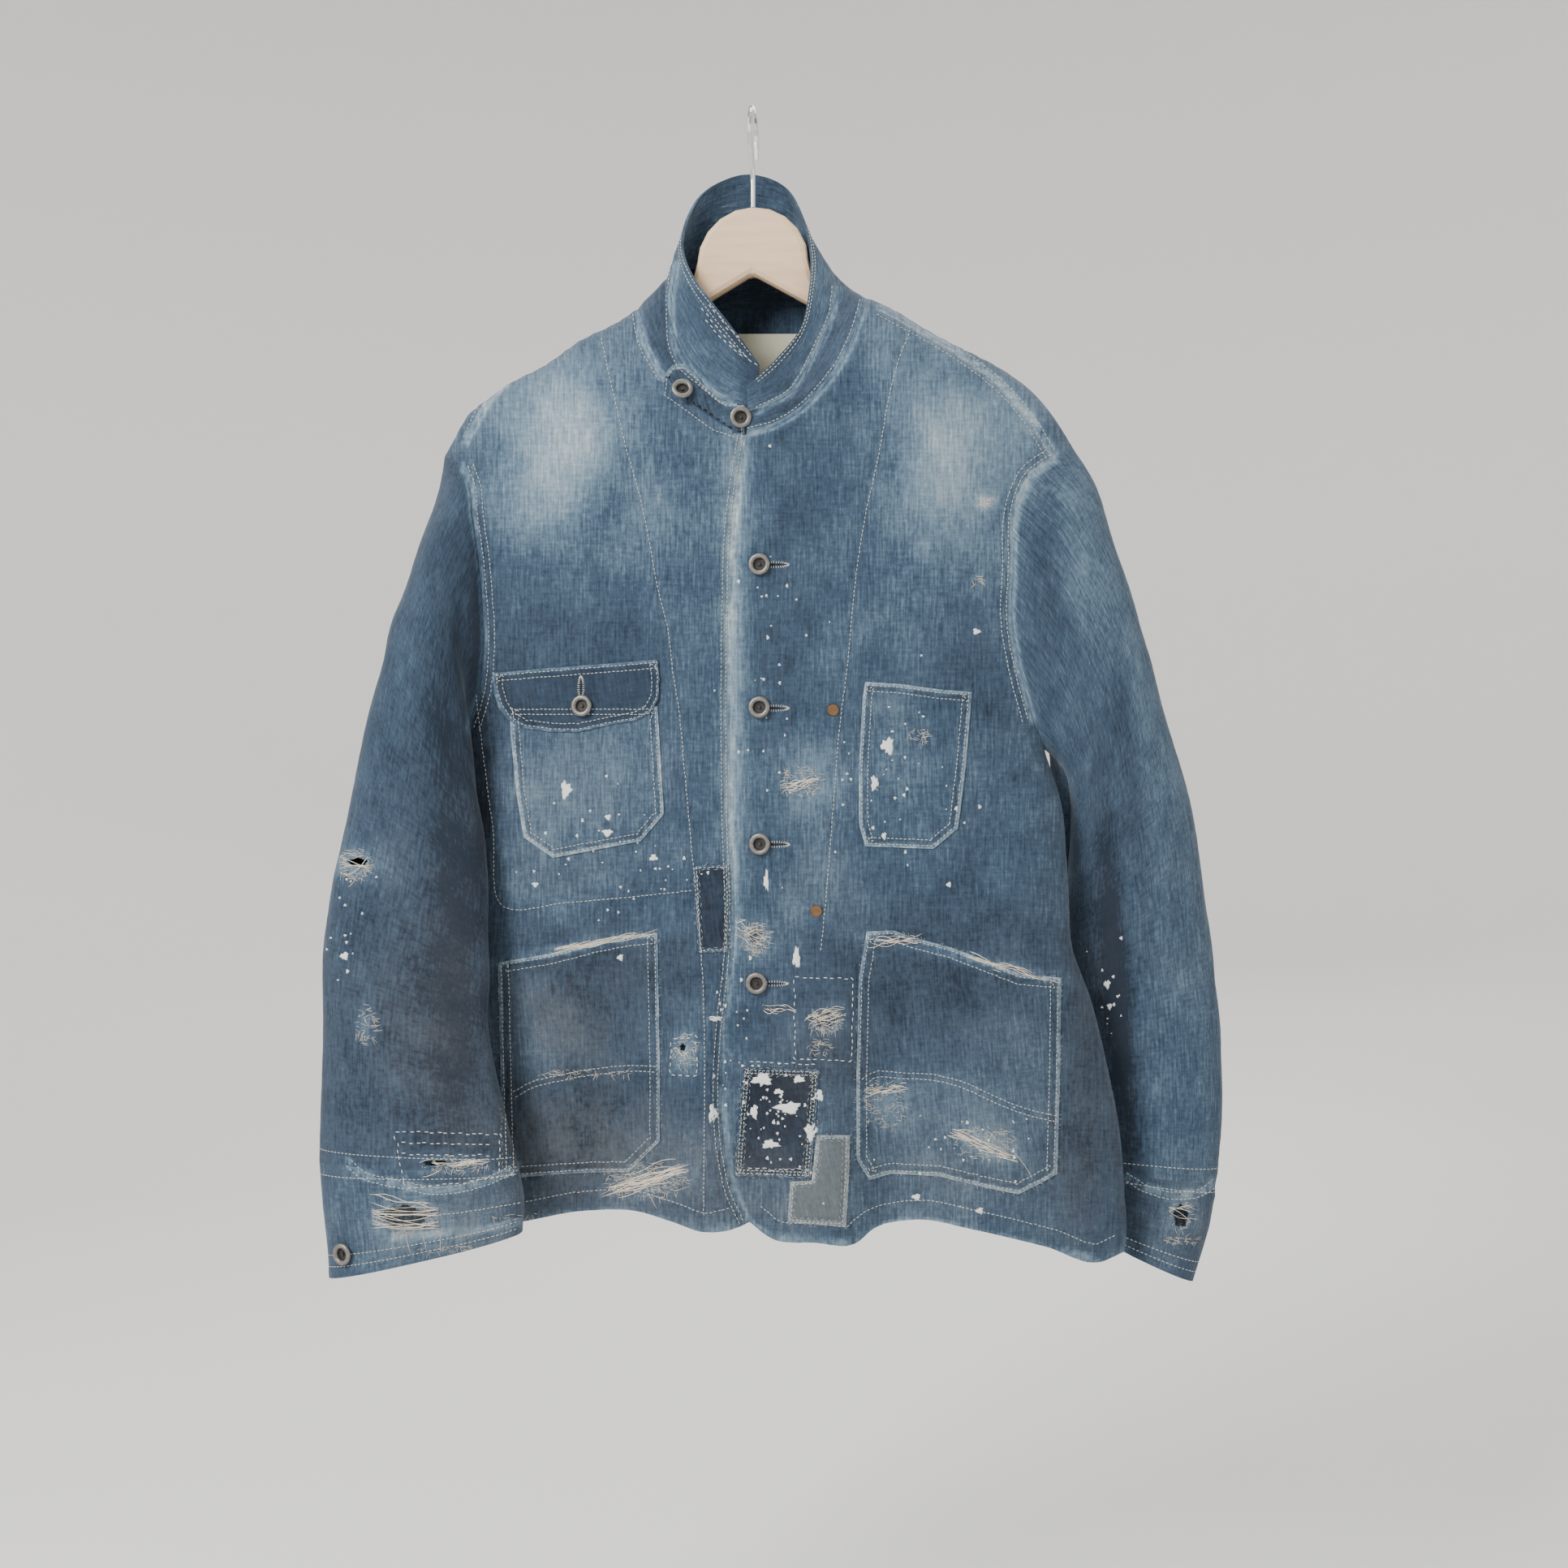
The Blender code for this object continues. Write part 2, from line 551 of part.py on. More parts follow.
def turned_mesh(name, profile, sides):
    """Solid of revolution about Z from (radius, height) pairs that start and end on the axis."""
    work = bmesh.new()
    rings = []
    for radius, height in profile:
        if radius == 0.0:
            rings.append([work.verts.new((0.0, 0.0, height))])
            continue
        angles = [2.0 * math.pi * k / sides for k in range(sides)]
        rings.append([work.verts.new((radius * math.cos(a), radius * math.sin(a), height)) for a in angles])
    for low, high in zip(rings, rings[1:]):
        for k in range(sides):
            n = (k + 1) % sides
            if len(low) == 1:
                work.faces.new((low[0], high[n], high[k]))
            elif len(high) == 1:
                work.faces.new((low[k], low[n], high[0]))
            else:
                work.faces.new((low[k], low[n], high[n], high[k]))
    mesh = bpy.data.meshes.new(name)
    work.to_mesh(mesh)
    work.free()
    close_mesh(mesh)
    return mesh


class Surface:
    """Outer faces of some panels, on which small hardware finds its seat."""

    def __init__(self, *pieces):
        points, triangles = [], []
        for panel, height in pieces:
            start = len(points)
            points += [Vector(p) for p in (panel.points + panel.normals * height).reshape(-1, 3)]
            triangles += [tuple(int(i) + start for i in t) for t in panel.triangles]
        self.tree = BVHTree.FromPolygons(points, triangles)

    def seat(self, across, up, from_behind=False):
        """Point and outward direction where the line of sight meets the cloth."""
        aim = Vector(placed(across, up, 400.0))
        start = aim if from_behind else Vector(EYE)
        way = (Vector(EYE) - aim) if from_behind else (aim - Vector(EYE))
        spot, normal, _, _ = self.tree.ray_cast(start, way.normalized())
        if normal.dot(way) > 0:
            normal = -normal
        return spot, normal


def fasten(name, mesh, colour, spot, normal, clearance):
    thing = bpy.data.objects.new(name, mesh)
    bpy.context.collection.objects.link(thing)
    if not mesh.materials:
        mesh.materials.append(colour)
    turn = normal.to_track_quat("Z", "Y").to_matrix().to_4x4()
    thing.matrix_world = Matrix.Translation(spot + normal * clearance) @ turn
    return thing


def hanger_frame():
    """Hanger's own axes: its arms lie along local X, turned with the shoulders."""
    turn = math.atan(-HANGER_TURN)
    return Matrix.Rotation(turn, 4, "Z")


def hanger_wood():
    """Domed centre and two straight arms that the shoulders rest on."""
    across, up = np.array([LEFT["ridge"][0], LEFT["ridge"][5]], float).T
    near, far = placed(across, up, middle_depth(across))
    slope = (far[2] - near[2]) / (far[0] - near[0])

    def arm_top(x):
        return near[2] + (x - near[0]) * slope - WOOD_REST_DROP

    end = WOOD_HALF_WIDTH
    root = 0.0455
    top = [(WOOD_DOME_RADIUS * math.sin(a), WOOD_DOME_CENTRE + WOOD_DOME_RADIUS * math.cos(a))
           for a in np.radians([0, 18, 36, 54, 72, 88])]
    top += [(root + 0.004, arm_top(root + 0.004)), (end - 0.012, arm_top(end - 0.012))]
    tip = [(end - 0.003, arm_top(end) - 0.003), (end, arm_top(end) - 0.5 * WOOD_ARM_DEPTH),
           (end - 0.004, arm_top(end) - WOOD_ARM_DEPTH + 0.001)]
    under = [(end - 0.014, arm_top(end - 0.014) - WOOD_ARM_DEPTH), (0.020, arm_top(0.020) - WOOD_ARM_DEPTH),
             (0.0, arm_top(0.0) - WOOD_ARM_DEPTH)]
    right = top + tip + under
    outline = right + [(-x, z) for x, z in right[-2:0:-1]]
    half = WOOD_THICKNESS / 2
    count = len(outline)
    points = [(x, y, z) for y in (-half, half) for x, z in outline]
    faces = [tuple(range(count)), tuple(range(2 * count - 1, count - 1, -1))]
    faces += [(i, (i + 1) % count, count + (i + 1) % count, count + i) for i in range(count)]
    mesh = bpy.data.meshes.new("hanger_wood")
    mesh.from_pydata(points, [], faces)
    close_mesh(mesh)
    wood = add_object("hanger_wood", mesh, material("maple", MAPLE, 0.45))
    wood.matrix_world = hanger_frame()
    soften = wood.modifiers.new("edges", "BEVEL")
    soften.width = 4.5 * MM
    soften.segments = 2
    soften.limit_method = "ANGLE"
    soften.angle_limit = math.radians(50)
    return wood


def hanger_hook():
    """Bent wire: an arch over the rail, an S-bend back to the middle and a stem to the wood."""
    radius = HOOK_INNER_RADIUS + HOOK_WIRE_RADIUS
    centre = -HOOK_INNER_RADIUS
    route = [(0.0, radius + 0.001, centre - 0.014), (0.0, radius, centre - 0.004)]
    for degrees in range(0, 196, 15):
        a = math.radians(degrees)
        route.append((0.0, radius * math.cos(a), centre + radius * math.sin(a)))
    route += [(0.0, -radius * 0.80, centre - 0.0135), (0.0, -radius * 0.45, centre - 0.0215),
              (0.0, -radius * 0.12, centre - 0.0295), (0.0, 0.0, centre - 0.037),
              (0.0, 0.0, WOOD_DOME_CENTRE + WOOD_DOME_RADIUS + SEAM_GAP)]
    line = bpy.data.curves.new("hanger_hook", "CURVE")
    line.dimensions = "3D"
    line.bevel_depth = HOOK_WIRE_RADIUS
    line.bevel_resolution = 2
    line.use_fill_caps = True
    strand = line.splines.new("POLY")
    strand.points.add(len(route) - 1)
    for point, place in zip(strand.points, route):
        point.co = (*place, 1.0)
    strand.use_smooth = True
    line.materials.append(material("chrome", CHROME, 0.15, 1.0))
    hook = bpy.data.objects.new("hanger_hook", line)
    bpy.context.collection.objects.link(hook)
    hook.matrix_world = hanger_frame()
    return hook


def neck_label():
    """Panel of the blank woven label, hung just in front of the inside of the back neck."""
    across, up = np.meshgrid(np.linspace(-12, 37, 4), np.linspace(-191, -240, 5))
    depth = back_depth(across, up) - (CLOTH / MM + 1.7)
    panel = Panel(placed(across, up, depth), turned=True, thickness=0.6 * MM)
    share_normals([panel])
    return panel


def main():
    clear_scene()

    # Master surface of the body
    xz = {
        "front_left": body_grid(LEFT, LEFT["edge"], LEFT["neck"], NECK_COLUMNS),
        "front_right": body_grid(RIGHT, RIGHT["edge"], RIGHT["neck"], NECK_COLUMNS),
        "back_left": body_grid(LEFT, BACK_SEAM, [(3, -172), (50, -170), (89, -163)],
                               BACK_NECK_COLUMNS, BACK_HEM_LIFT),
        "back_right": body_grid(RIGHT, BACK_SEAM, [(3, -172), (-48, -174), (-89, -171)],
                                BACK_NECK_COLUMNS, BACK_HEM_LIFT),
    }
    grid = {}
    for name, flat in xz.items():
        across, up = flat[..., 0], flat[..., 1]
        depth = back_depth(across, up) if "back" in name else front_depth(across, up, name == "front_right")
        grid[name] = placed(across, up, depth)
    for side in ("left", "right"):
        grid["back_" + side][ARMHOLE_ROWS:, -1] = grid["front_" + side][ARMHOLE_ROWS:, -1]
        grid["back_" + side][0, -SHOULDER_COLUMNS - 1:] = grid["front_" + side][0, -SHOULDER_COLUMNS - 1:]

    panels = {name: Panel(points, name in ("front_left", "back_right")) for name, points in grid.items()}

    # Sleeves and cuffs
    for side, rails in (("left", LEFT_SLEEVE), ("right", RIGHT_SLEEVE)):
        loops = [grid[part + side][:ARMHOLE_ROWS + 1, -1] for part in ("front_", "back_")]
        (front, front_cuff), (back, back_cuff) = sleeve_grid(rails, *loops)
        for half, sleeve, cuff in (("front", front, front_cuff), ("back", back, back_cuff)):
            turned = (side == "right") == (half == "front")
            panels[f"sleeve_{side}_{half}"] = Panel(sleeve, turned)
            panels[f"cuff_{side}_{half}"] = Panel(cuff, turned, COLLAR_CLOTH)

    # Collar: the stand grows from the neck line, and the leaf from the stand
    neck = np.vstack([grid["front_right"][0, :NECK_COLUMNS + 1],
                      grid["back_right"][0, BACK_NECK_COLUMNS - 1::-1],
                      grid["back_left"][0, 1:BACK_NECK_COLUMNS + 1],
                      grid["front_left"][0, NECK_COLUMNS - 1::-1]])
    way = np.r_[0.0, np.cumsum(np.linalg.norm(np.diff(neck, axis=0), axis=1))]
    way /= way[-1]
    stand_top = placed(*curve(STAND_TOP)(way).T)
    leaf_edge = placed(*curve(LEAF_EDGE)(way).T)
    rise = samples(STAND_ROWS)[:, None, None]
    stand = neck[None] * (1 - rise) + stand_top[None] * rise
    rise = samples(LEAF_ROWS)[:, None, None]
    leaf = stand_top[None] * (1 - rise) + leaf_edge[None] * rise
    panels["collar_stand"] = Panel(stand, True, COLLAR_CLOTH)
    panels["collar_leaf"] = Panel(leaf, True, COLLAR_CLOTH)
    share_normals(list(panels.values()))

    things = {}
    for name, panel in panels.items():
        wall = wall_mesh(name, panel, -panel.thickness, 0.0)
        things[name] = add_object(name, wall, material("denim_" + name, DENIM))

    # Pieces sewn on the fronts, from their points moved out
    left, right = panels["front_left"], panels["front_right"]
    over = SEAM_GAP + POCKET_CLOTH
    pockets = (("pocket_flap_chest", right, FLAP_POCKET), ("pocket_chest", left, CHEST_POCKET),
               ("pocket_hip_right", right, RIGHT_HIP_POCKET), ("pocket_hip_left", left, LEFT_HIP_POCKET))
    for name, panel, outline in pockets:
        sewn_on(name, panel, outline, SEAM_GAP, over, material("denim_" + name, PALE_DENIM))
    sewn_on("flap_chest", right, FLAP, over + SEAM_GAP, 2 * over, material("denim_flap", DARK_DENIM))
    patches = (("patch_edge", right, EDGE_PATCH, DARK_DENIM), ("patch_dark", left, DARK_PATCH, DARK_DENIM),
               ("patch_corner", left, CORNER_PATCH, PALE_DENIM))
    for name, panel, outline, colour in patches:
        sewn_on(name, panel, outline, SEAM_GAP, SEAM_GAP + PATCH_CLOTH, material("denim_" + name, colour))
    sewn_on("patch_backing", left, BACKING_PATCH, -CLOTH - SEAM_GAP - PATCH_CLOTH, -CLOTH - SEAM_GAP,
            material("denim_backing", DARK_DENIM))
    sewn_on("neck_strap", panels["collar_stand"], STRAP, SEAM_GAP, SEAM_GAP + STRAP_CLOTH,
            material("denim_strap", DENIM))

    cut_rips(things, {"front_left": (-160, 0), "front_right": (-160, 0), "sleeve_right_front": (-160, -38),
                      "cuff_right_front": (-160, -60), "cuff_left_front": (-160, 4)})

    label = neck_label()
    wall = wall_mesh("neck_label", label, -label.thickness, 0.0)
    add_object("neck_label", wall, material("linen", LINEN, 0.8))

    # Buttons and rivets
    r, h = BUTTON_RADIUS, BUTTON_HEIGHT
    button = turned_mesh("button", [(0.0, 0.0), (0.5 * r, 0.0), (0.5 * r, 0.35 * h), (r, 0.45 * h),
                                    (0.98 * r, 0.82 * h), (0.66 * r, h), (0.38 * r, 0.62 * h),
                                    (0.0, 0.62 * h)], 12)
    rivet = turned_mesh("rivet", [(0.0, 0.0), (RIVET_RADIUS, 0.0), (0.95 * RIVET_RADIUS, 0.9 * MM),
                                  (0.55 * RIVET_RADIUS, 1.3 * MM), (0.0, 1.3 * MM)], 12)
    pewter = material("pewter", PEWTER, 0.45, 0.9)
    copper = material("copper", COPPER, 0.4, 0.9)
    on_left = Surface((left, 0.0))
    for index, place in enumerate(FRONT_BUTTONS):
        fasten(f"button_front_{index + 1}", button, pewter, *on_left.seat(*place), SEAM_GAP)
    for index, place in enumerate(RIVETS):
        fasten(f"rivet_{index + 1}", rivet, copper, *on_left.seat(*place), SEAM_GAP)
    on_strap = Surface((panels["collar_stand"], SEAM_GAP + STRAP_CLOTH))
    for index, place in enumerate(STRAP_BUTTONS):
        fasten(f"button_strap_{index + 1}", button, pewter, *on_strap.seat(*place), 2.0 * SEAM_GAP)
    on_flap = Surface((right, 2 * over))
    fasten("button_flap", button, pewter, *on_flap.seat(*FLAP_BUTTON), SEAM_GAP)
    on_cuff = Surface((panels["cuff_right_front"], 0.0))
    fasten("button_cuff_right", button, pewter, *on_cuff.seat(*RIGHT_CUFF_BUTTON), SEAM_GAP)
    behind = Surface((panels["cuff_left_back"], 0.0))
    fasten("button_cuff_left", button, pewter, *behind.seat(*LEFT_CUFF_BUTTON, True), SEAM_GAP)

    hanger_wood()
    hanger_hook()


main()
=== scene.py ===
"""Looks of the patched denim jacket: fine cloth, sewing, frays, paint and studio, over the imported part."""
import math

import bmesh
import bpy
import numpy as np
from mathutils import Matrix, Vector
from mathutils.bvhtree import BVHTree
from mathutils.geometry import delaunay_2d_cdt


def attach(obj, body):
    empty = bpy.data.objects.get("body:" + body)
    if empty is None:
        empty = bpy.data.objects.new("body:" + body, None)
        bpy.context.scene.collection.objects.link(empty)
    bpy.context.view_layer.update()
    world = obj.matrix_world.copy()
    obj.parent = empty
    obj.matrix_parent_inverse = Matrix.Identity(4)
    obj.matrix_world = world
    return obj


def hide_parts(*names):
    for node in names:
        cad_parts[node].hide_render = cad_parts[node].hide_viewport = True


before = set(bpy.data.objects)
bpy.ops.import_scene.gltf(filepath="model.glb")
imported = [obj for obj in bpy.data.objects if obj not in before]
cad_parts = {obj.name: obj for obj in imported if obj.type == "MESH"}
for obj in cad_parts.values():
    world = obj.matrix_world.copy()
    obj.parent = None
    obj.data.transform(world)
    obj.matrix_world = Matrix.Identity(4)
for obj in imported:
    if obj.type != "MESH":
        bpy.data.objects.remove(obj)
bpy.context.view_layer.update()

RANDOM = np.random.default_rng(11)

# Driving dimensions, in metres
MM = 0.001
EYE = (0.025, -1.400, -0.5405)
OUTLINE_DEPTH = -0.047
CLOTH = 1.5 * MM
COLLAR_CLOTH = 2.0 * MM
STRAP_CLOTH = 2.6 * MM
POCKET_CLOTH = 1.2 * MM
PATCH_CLOTH = 1.0 * MM
SEAM_GAP = 0.4 * MM
LAP = 3.4 * MM
FRONT_FULLNESS = 0.052
BACK_FULLNESS = 0.042
SHOULDER_ROUND = 0.110
BODY_CURVE = 2.2
HANGER_TURN = 0.12
BUTTON_RADIUS = 8.5 * MM
BUTTON_HEIGHT = 4.2 * MM
RIVET_RADIUS = 4.6 * MM
WOOD_THICKNESS = 13.0 * MM
WOOD_DOME_RADIUS = 0.045
WOOD_DOME_CENTRE = -0.1227
WOOD_ARM_DEPTH = 0.0225
WOOD_HALF_WIDTH = 0.200
WOOD_REST_DROP = 8.5 * MM
HOOK_INNER_RADIUS = 0.018
HOOK_WIRE_RADIUS = 1.9 * MM

# Mesh density: rows and columns between the sewing lines
ARMHOLE_ROWS = 60
SIDE_ROWS = 90
NECK_COLUMNS = 36
BACK_NECK_COLUMNS = 22
SHOULDER_COLUMNS = 44
SLEEVE_ROWS = 120
CUFF_ROWS = 20
STAND_ROWS = 9
LEAF_ROWS = 20
NECK_CROWDING = 1.35
TOP_CROWDING = 1.4

# Outlines of the wearer's left half, in millimetres: (across, up)
LEFT = {
    "neck": [(-4, -270), (18, -263), (37, -252), (55, -233), (68, -217), (77, -198), (84, -180), (89, -163)],
    "ridge": [(89, -163), (106, -170), (128, -183), (152, -196), (175, -208), (199, -222), (218, -236),
              (234, -255), (249, -279)],
    "armhole": [(249, -279), (234, -287), (215, -301), (208, -314), (204, -331), (203, -372),
                (202, -413), (207, -449), (218, -490), (228, -515)],
    "side": [(228, -515), (239, -549), (245, -600), (249, -665), (265, -711), (280, -776), (289, -850),
             (291, -887), (289, -904)],
    "hem": [(-3, -880), (16, -894), (48, -897), (80, -898), (96, -885), (127, -879), (173, -887),
            (228, -900), (271, -912), (289, -904)],
    "edge": [(-4, -270), (-12, -331), (-16, -413), (-16, -561), (-14, -671), (-21, -737), (-23, -774),
             (-20, -828), (-13, -858), (-3, -880)],
}
# Outlines of the wearer's right half, whose front edge runs on under the left half
RIGHT = {
    "neck": [(22, -264), (-4, -270), (-18, -264), (-37, -252), (-55, -237), (-69, -221), (-77, -206),
             (-83, -192), (-89, -171)],
    "ridge": [(-89, -171), (-120, -190), (-142, -204), (-164, -216), (-191, -231), (-207, -244),
              (-219, -255), (-229, -271), (-238, -286)],
    "armhole": [(-238, -286), (-224, -294), (-219, -310), (-217, -331), (-213, -360), (-210, -391),
                (-208, -430), (-211, -468), (-220, -498), (-233, -518)],
    "side": [(-233, -518), (-243, -560), (-248, -620), (-254, -680), (-264, -740), (-272, -800),
             (-277, -850), (-279, -892)],
    "hem": [(8, -876), (-20, -888), (-37, -889), (-62, -881), (-91, -872), (-130, -872), (-175, -880),
            (-230, -889), (-279, -892)],
    "edge": [(22, -264), (20, -400), (18, -600), (16, -760), (14, -830), (8, -876)],
}
BACK_SEAM = [(3, -172), (6, -300), (6, -500), (5, -700), (4, -860)]
BACK_HEM_LIFT = 24
CHEST_WIDTH = [(240, -468), (248, -400), (260, -282)]

# Collar lines from the wearer's right front round the back to the left: (across, up, depth)
STAND_TOP = [(4, -250, -47), (-26, -240, -45), (-52, -209, -32), (-63, -180, -17), (-66, -150, 3),
             (-50, -141, 26), (0, -143, 36), (32, -141, 31), (53, -140, 17), (64, -144, -1),
             (66, -157, -17), (61, -178, -31), (51, -204, -41), (30, -238, -49), (-3, -252, -51)]
LEAF_EDGE = [(6, -215, -37), (-12, -190, -36), (-30, -167, -30), (-45, -147, -21), (-54, -124, -8),
             (-39, -82, 18), (-1, -68, 38), (25, -76, 31), (39, -97, 13), (46, -124, -8),
             (45, -155, -27), (38, -186, -40), (20, -209, -47), (-4, -232, -50)]

# Sleeve rails down the outer and the inner fold: (across, up, depth)
LEFT_SLEEVE = {
    "outer": [(249, -279, -30), (265, -304, -27), (281, -353, -22), (297, -405, -17), (314, -462, -12),
              (335, -536, -7), (348, -598, -4), (355, -653, -2), (361, -700, -1), (365, -774, -2),
              (361, -848, -4)],
    "inner": [(228, -515, -27), (241, -528, -25), (247, -550, -16), (247, -580, -3), (244, -620, 10),
              (243, -690, 18), (248, -760, 20), (254, -835, 19)],
    "cuff_outer": [(361, -848, -4), (357, -880, -5), (343, -926, -8)],
    "cuff_inner": [(254, -835, 19), (256, -862, 18), (260, -886, 16)],
    "front": [(0.0, 26), (0.3, 30), (0.6, 29), (1.0, 24)],
    "back": [(0.0, 24), (0.3, 26), (0.6, 26), (1.0, 22)],
    "front_fold": [(0.0, 0), (1.0, 0)],
    "back_fold": [(0.0, 0), (0.1, -6), (0.2, -16), (0.45, -10), (0.7, 0), (1.0, 0)],
}
RIGHT_SLEEVE = {
    "outer": [(-238, -286, 28.6), (-243, -310, 20), (-256, -348, 8), (-282, -430, -8), (-301, -499, -18),
              (-319, -590, -28), (-330, -649, -34), (-333, -700, -37), (-333, -757, -40),
              (-334, -832, -44)],
    "inner": [(-233, -518, 28), (-244, -530, 26), (-251, -556, 20), (-248, -600, 8), (-238, -650, -8),
              (-220, -710, -30), (-199, -770, -51), (-181, -837, -68)],
    "cuff_outer": [(-334, -832, -44), (-331, -875, -45), (-327, -922, -46)],
    "cuff_inner": [(-181, -837, -68), (-177, -862, -69), (-178, -888, -70)],
    "front": [(0.0, 26), (0.1, 38), (0.3, 38), (0.6, 33), (1.0, 25)],
    "back": [(0.0, 20), (0.3, 22), (0.6, 25), (1.0, 22)],
    "front_fold": [(0.0, 0), (0.07, 8), (0.15, 32), (0.27, 50), (0.42, 52), (0.6, 38), (0.85, 8), (1.0, 0)],
    "back_fold": [(0.0, 0), (1.0, 0)],
}
SLEEVE_SECTION = 2.3
SLEEVE_SETTLE = 0.30
INNER_CROWDING = 1.35
MITRE_HOLD = 0.04
MITRE_LIMIT = 2.0

# Creases that stand towards the viewer (+) or sink away (-), all in millimetres:
# upper end, lower end, half-width and height
CREASES = [
    ((-92, -640), (-114, -950), 34, -15),
    ((-50, -660), (-40, -950), 26, 10),
    ((-150, -700), (-168, -950), 26, 6),
    ((52, -690), (64, -950), 30, 9),
    ((102, -680), (118, -950), 28, -14),
    ((186, -560), (222, -950), 44, 9),
    ((170, -240), (120, -430), 34, 5),
    ((-170, -250), (-116, -440), 34, 6),
    ((-204, -440), (-150, -640), 20, -4),
    ((214, -430), (176, -640), 22, -5),
]
BACK_CREASES = [
    ((-150, -560), (-180, -950), 36, 9),
    ((-70, -620), (-84, -950), 34, -8),
    ((40, -600), (52, -950), 36, 9),
    ((130, -560), (150, -950), 36, -8),
    ((210, -540), (236, -950), 30, 7),
    ((-120, -260), (-60, -420), 40, 4),
    ((120, -260), (60, -420), 40, 4),
]

# Outlines of what is sewn on the fronts, in millimetres
FLAP_POCKET = [(-188, -480), (-187, -500), (-183, -546), (-177, -582), (-154, -598), (-86, -585), (-68, -564),
               (-73, -480)]
FLAP = [(-200, -454), (-200, -466), (-196, -480), (-189, -490), (-177, -497), (-154, -500), (-134, -500),
        (-111, -495), (-89, -491), (-78, -485), (-72, -474), (-71, -459), (-73, -444)]
CHEST_POCKET = [(88, -461), (117, -463), (146, -467), (171, -469), (166, -527), (160, -575), (141, -591),
                (88, -589), (83, -571), (83, -527), (86, -473)]
RIGHT_HIP_POCKET = [(-197, -679), (-156, -672), (-122, -663), (-96, -658), (-73, -656), (-71, -755),
                    (-71, -818), (-95, -842), (-122, -842), (-156, -844), (-193, -847)]
LEFT_HIP_POCKET = [(89, -655), (110, -654), (127, -660), (154, -667), (175, -675), (208, -688), (240, -691),
                   (239, -767), (237, -843), (223, -851), (207, -859), (182, -854), (145, -845),
                   (108, -843), (91, -848), (81, -832), (81, -767), (83, -691)]
EDGE_PATCH = [(-45, -604), (-31, -603), (-17.5, -603), (-17, -638), (-18, -671), (-42, -672)]
DARK_PATCH = [(-7, -760), (24, -761), (53, -762), (50, -800), (46, -847), (14, -846), (-14, -845), (-11, -802)]
CORNER_PATCH = [(50.5, -813), (76, -813), (75, -849), (73, -884.5), (28, -881), (30, -849), (46.5, -848.5)]
BACKING_PATCH = [(35, -696), (77, -698), (76, -751), (34, -749)]
STRAP = [(-5.5, -276), (-31, -268), (-70, -240), (-68, -224), (-62, -216), (-52, -215), (-43, -223),
         (-31, -235), (-21, -244), (-5, -245)]

# Rips cut right through: centre across and up, half width, half height
RIPS = {
    "front_left": [(3, -659, 5.2, 5.4), (58, -724, 8.6, 6.4)],
    "front_right": [(-53.5, -745, 2.4, 3.2)],
    "sleeve_right_front": [(-306, -601, 8.5, 3.4), (-244, -835, 12.5, 2.5)],
    "cuff_right_front": [(-269, -877, 20, 10)],
    "cuff_left_front": [(333, -876, 6.3, 9.7)],
}
FRONT_BUTTONS = [(6, -370), (6, -481), (6.5, -587), (3.8, -695)]
RIVETS = [(63, -483), (50, -639)]
STRAP_BUTTONS = [(-54, -235), (-8.7, -256)]
FLAP_BUTTON = (-131.5, -480)
RIGHT_CUFF_BUTTON = (-316.5, -905)
LEFT_CUFF_BUTTON = (338, -900)


def graph(points):
    """Smooth single-valued curve through (place, value) pairs, level beyond its ends."""
    place, value = np.array(points, float).T
    slope = np.gradient(value, place)

    def at(query):
        query = np.clip(query, place[0], place[-1])
        i = np.clip(np.searchsorted(place, query, side="right") - 1, 0, len(place) - 2)
        step = place[i + 1] - place[i]
        u = (query - place[i]) / step
        return ((2 * u**3 - 3 * u**2 + 1) * value[i] + (u**3 - 2 * u**2 + u) * step * slope[i]
                + (3 * u**2 - 2 * u**3) * value[i + 1] + (u**3 - u**2) * step * slope[i + 1])

    return at


def curve(points):
    """Smooth curve through points, as a function of 0 to 1 along its length."""
    points = np.array(points, float)
    length = np.r_[0.0, np.cumsum(np.linalg.norm(np.diff(points, axis=0), axis=1))]
    parts = [graph(list(zip(length / length[-1], column))) for column in points.T]
    return lambda t: np.stack([part(np.asarray(t, float)) for part in parts], axis=-1)


def placed(across, up, depth):
    """World point, in metres, of a point of the outline plane carried to its own depth."""
    across, up, depth = (np.asarray(value, float) * MM for value in (across, up, depth))
    scale = (depth - EYE[1]) / (OUTLINE_DEPTH - EYE[1])
    x = EYE[0] + (across - EYE[0]) * scale
    z = EYE[2] + (up - EYE[2]) * scale
    return np.stack([x, depth + 0 * x, z], axis=-1)


def smooth_step(value):
    value = np.clip(value, 0.0, 1.0)
    return value * value * (3.0 - 2.0 * value)


def crease_height(across, up, creases):
    """Sum of the soft ridges and troughs, each fading in over a fifth of its length."""
    total = np.zeros(np.broadcast(across, up).shape)
    for (x0, z0), (x1, z1), width, height in creases:
        long = math.hypot(x1 - x0, z1 - z0)
        along = ((across - x0) * (x1 - x0) + (up - z0) * (z1 - z0)) / long
        side = ((across - x0) * (z1 - z0) - (up - z0) * (x1 - x0)) / long
        fade = smooth_step(along / (0.35 * long)) * smooth_step((long - along) / (0.2 * long))
        total += height * np.exp(-(side / width) ** 2) * fade
    return total


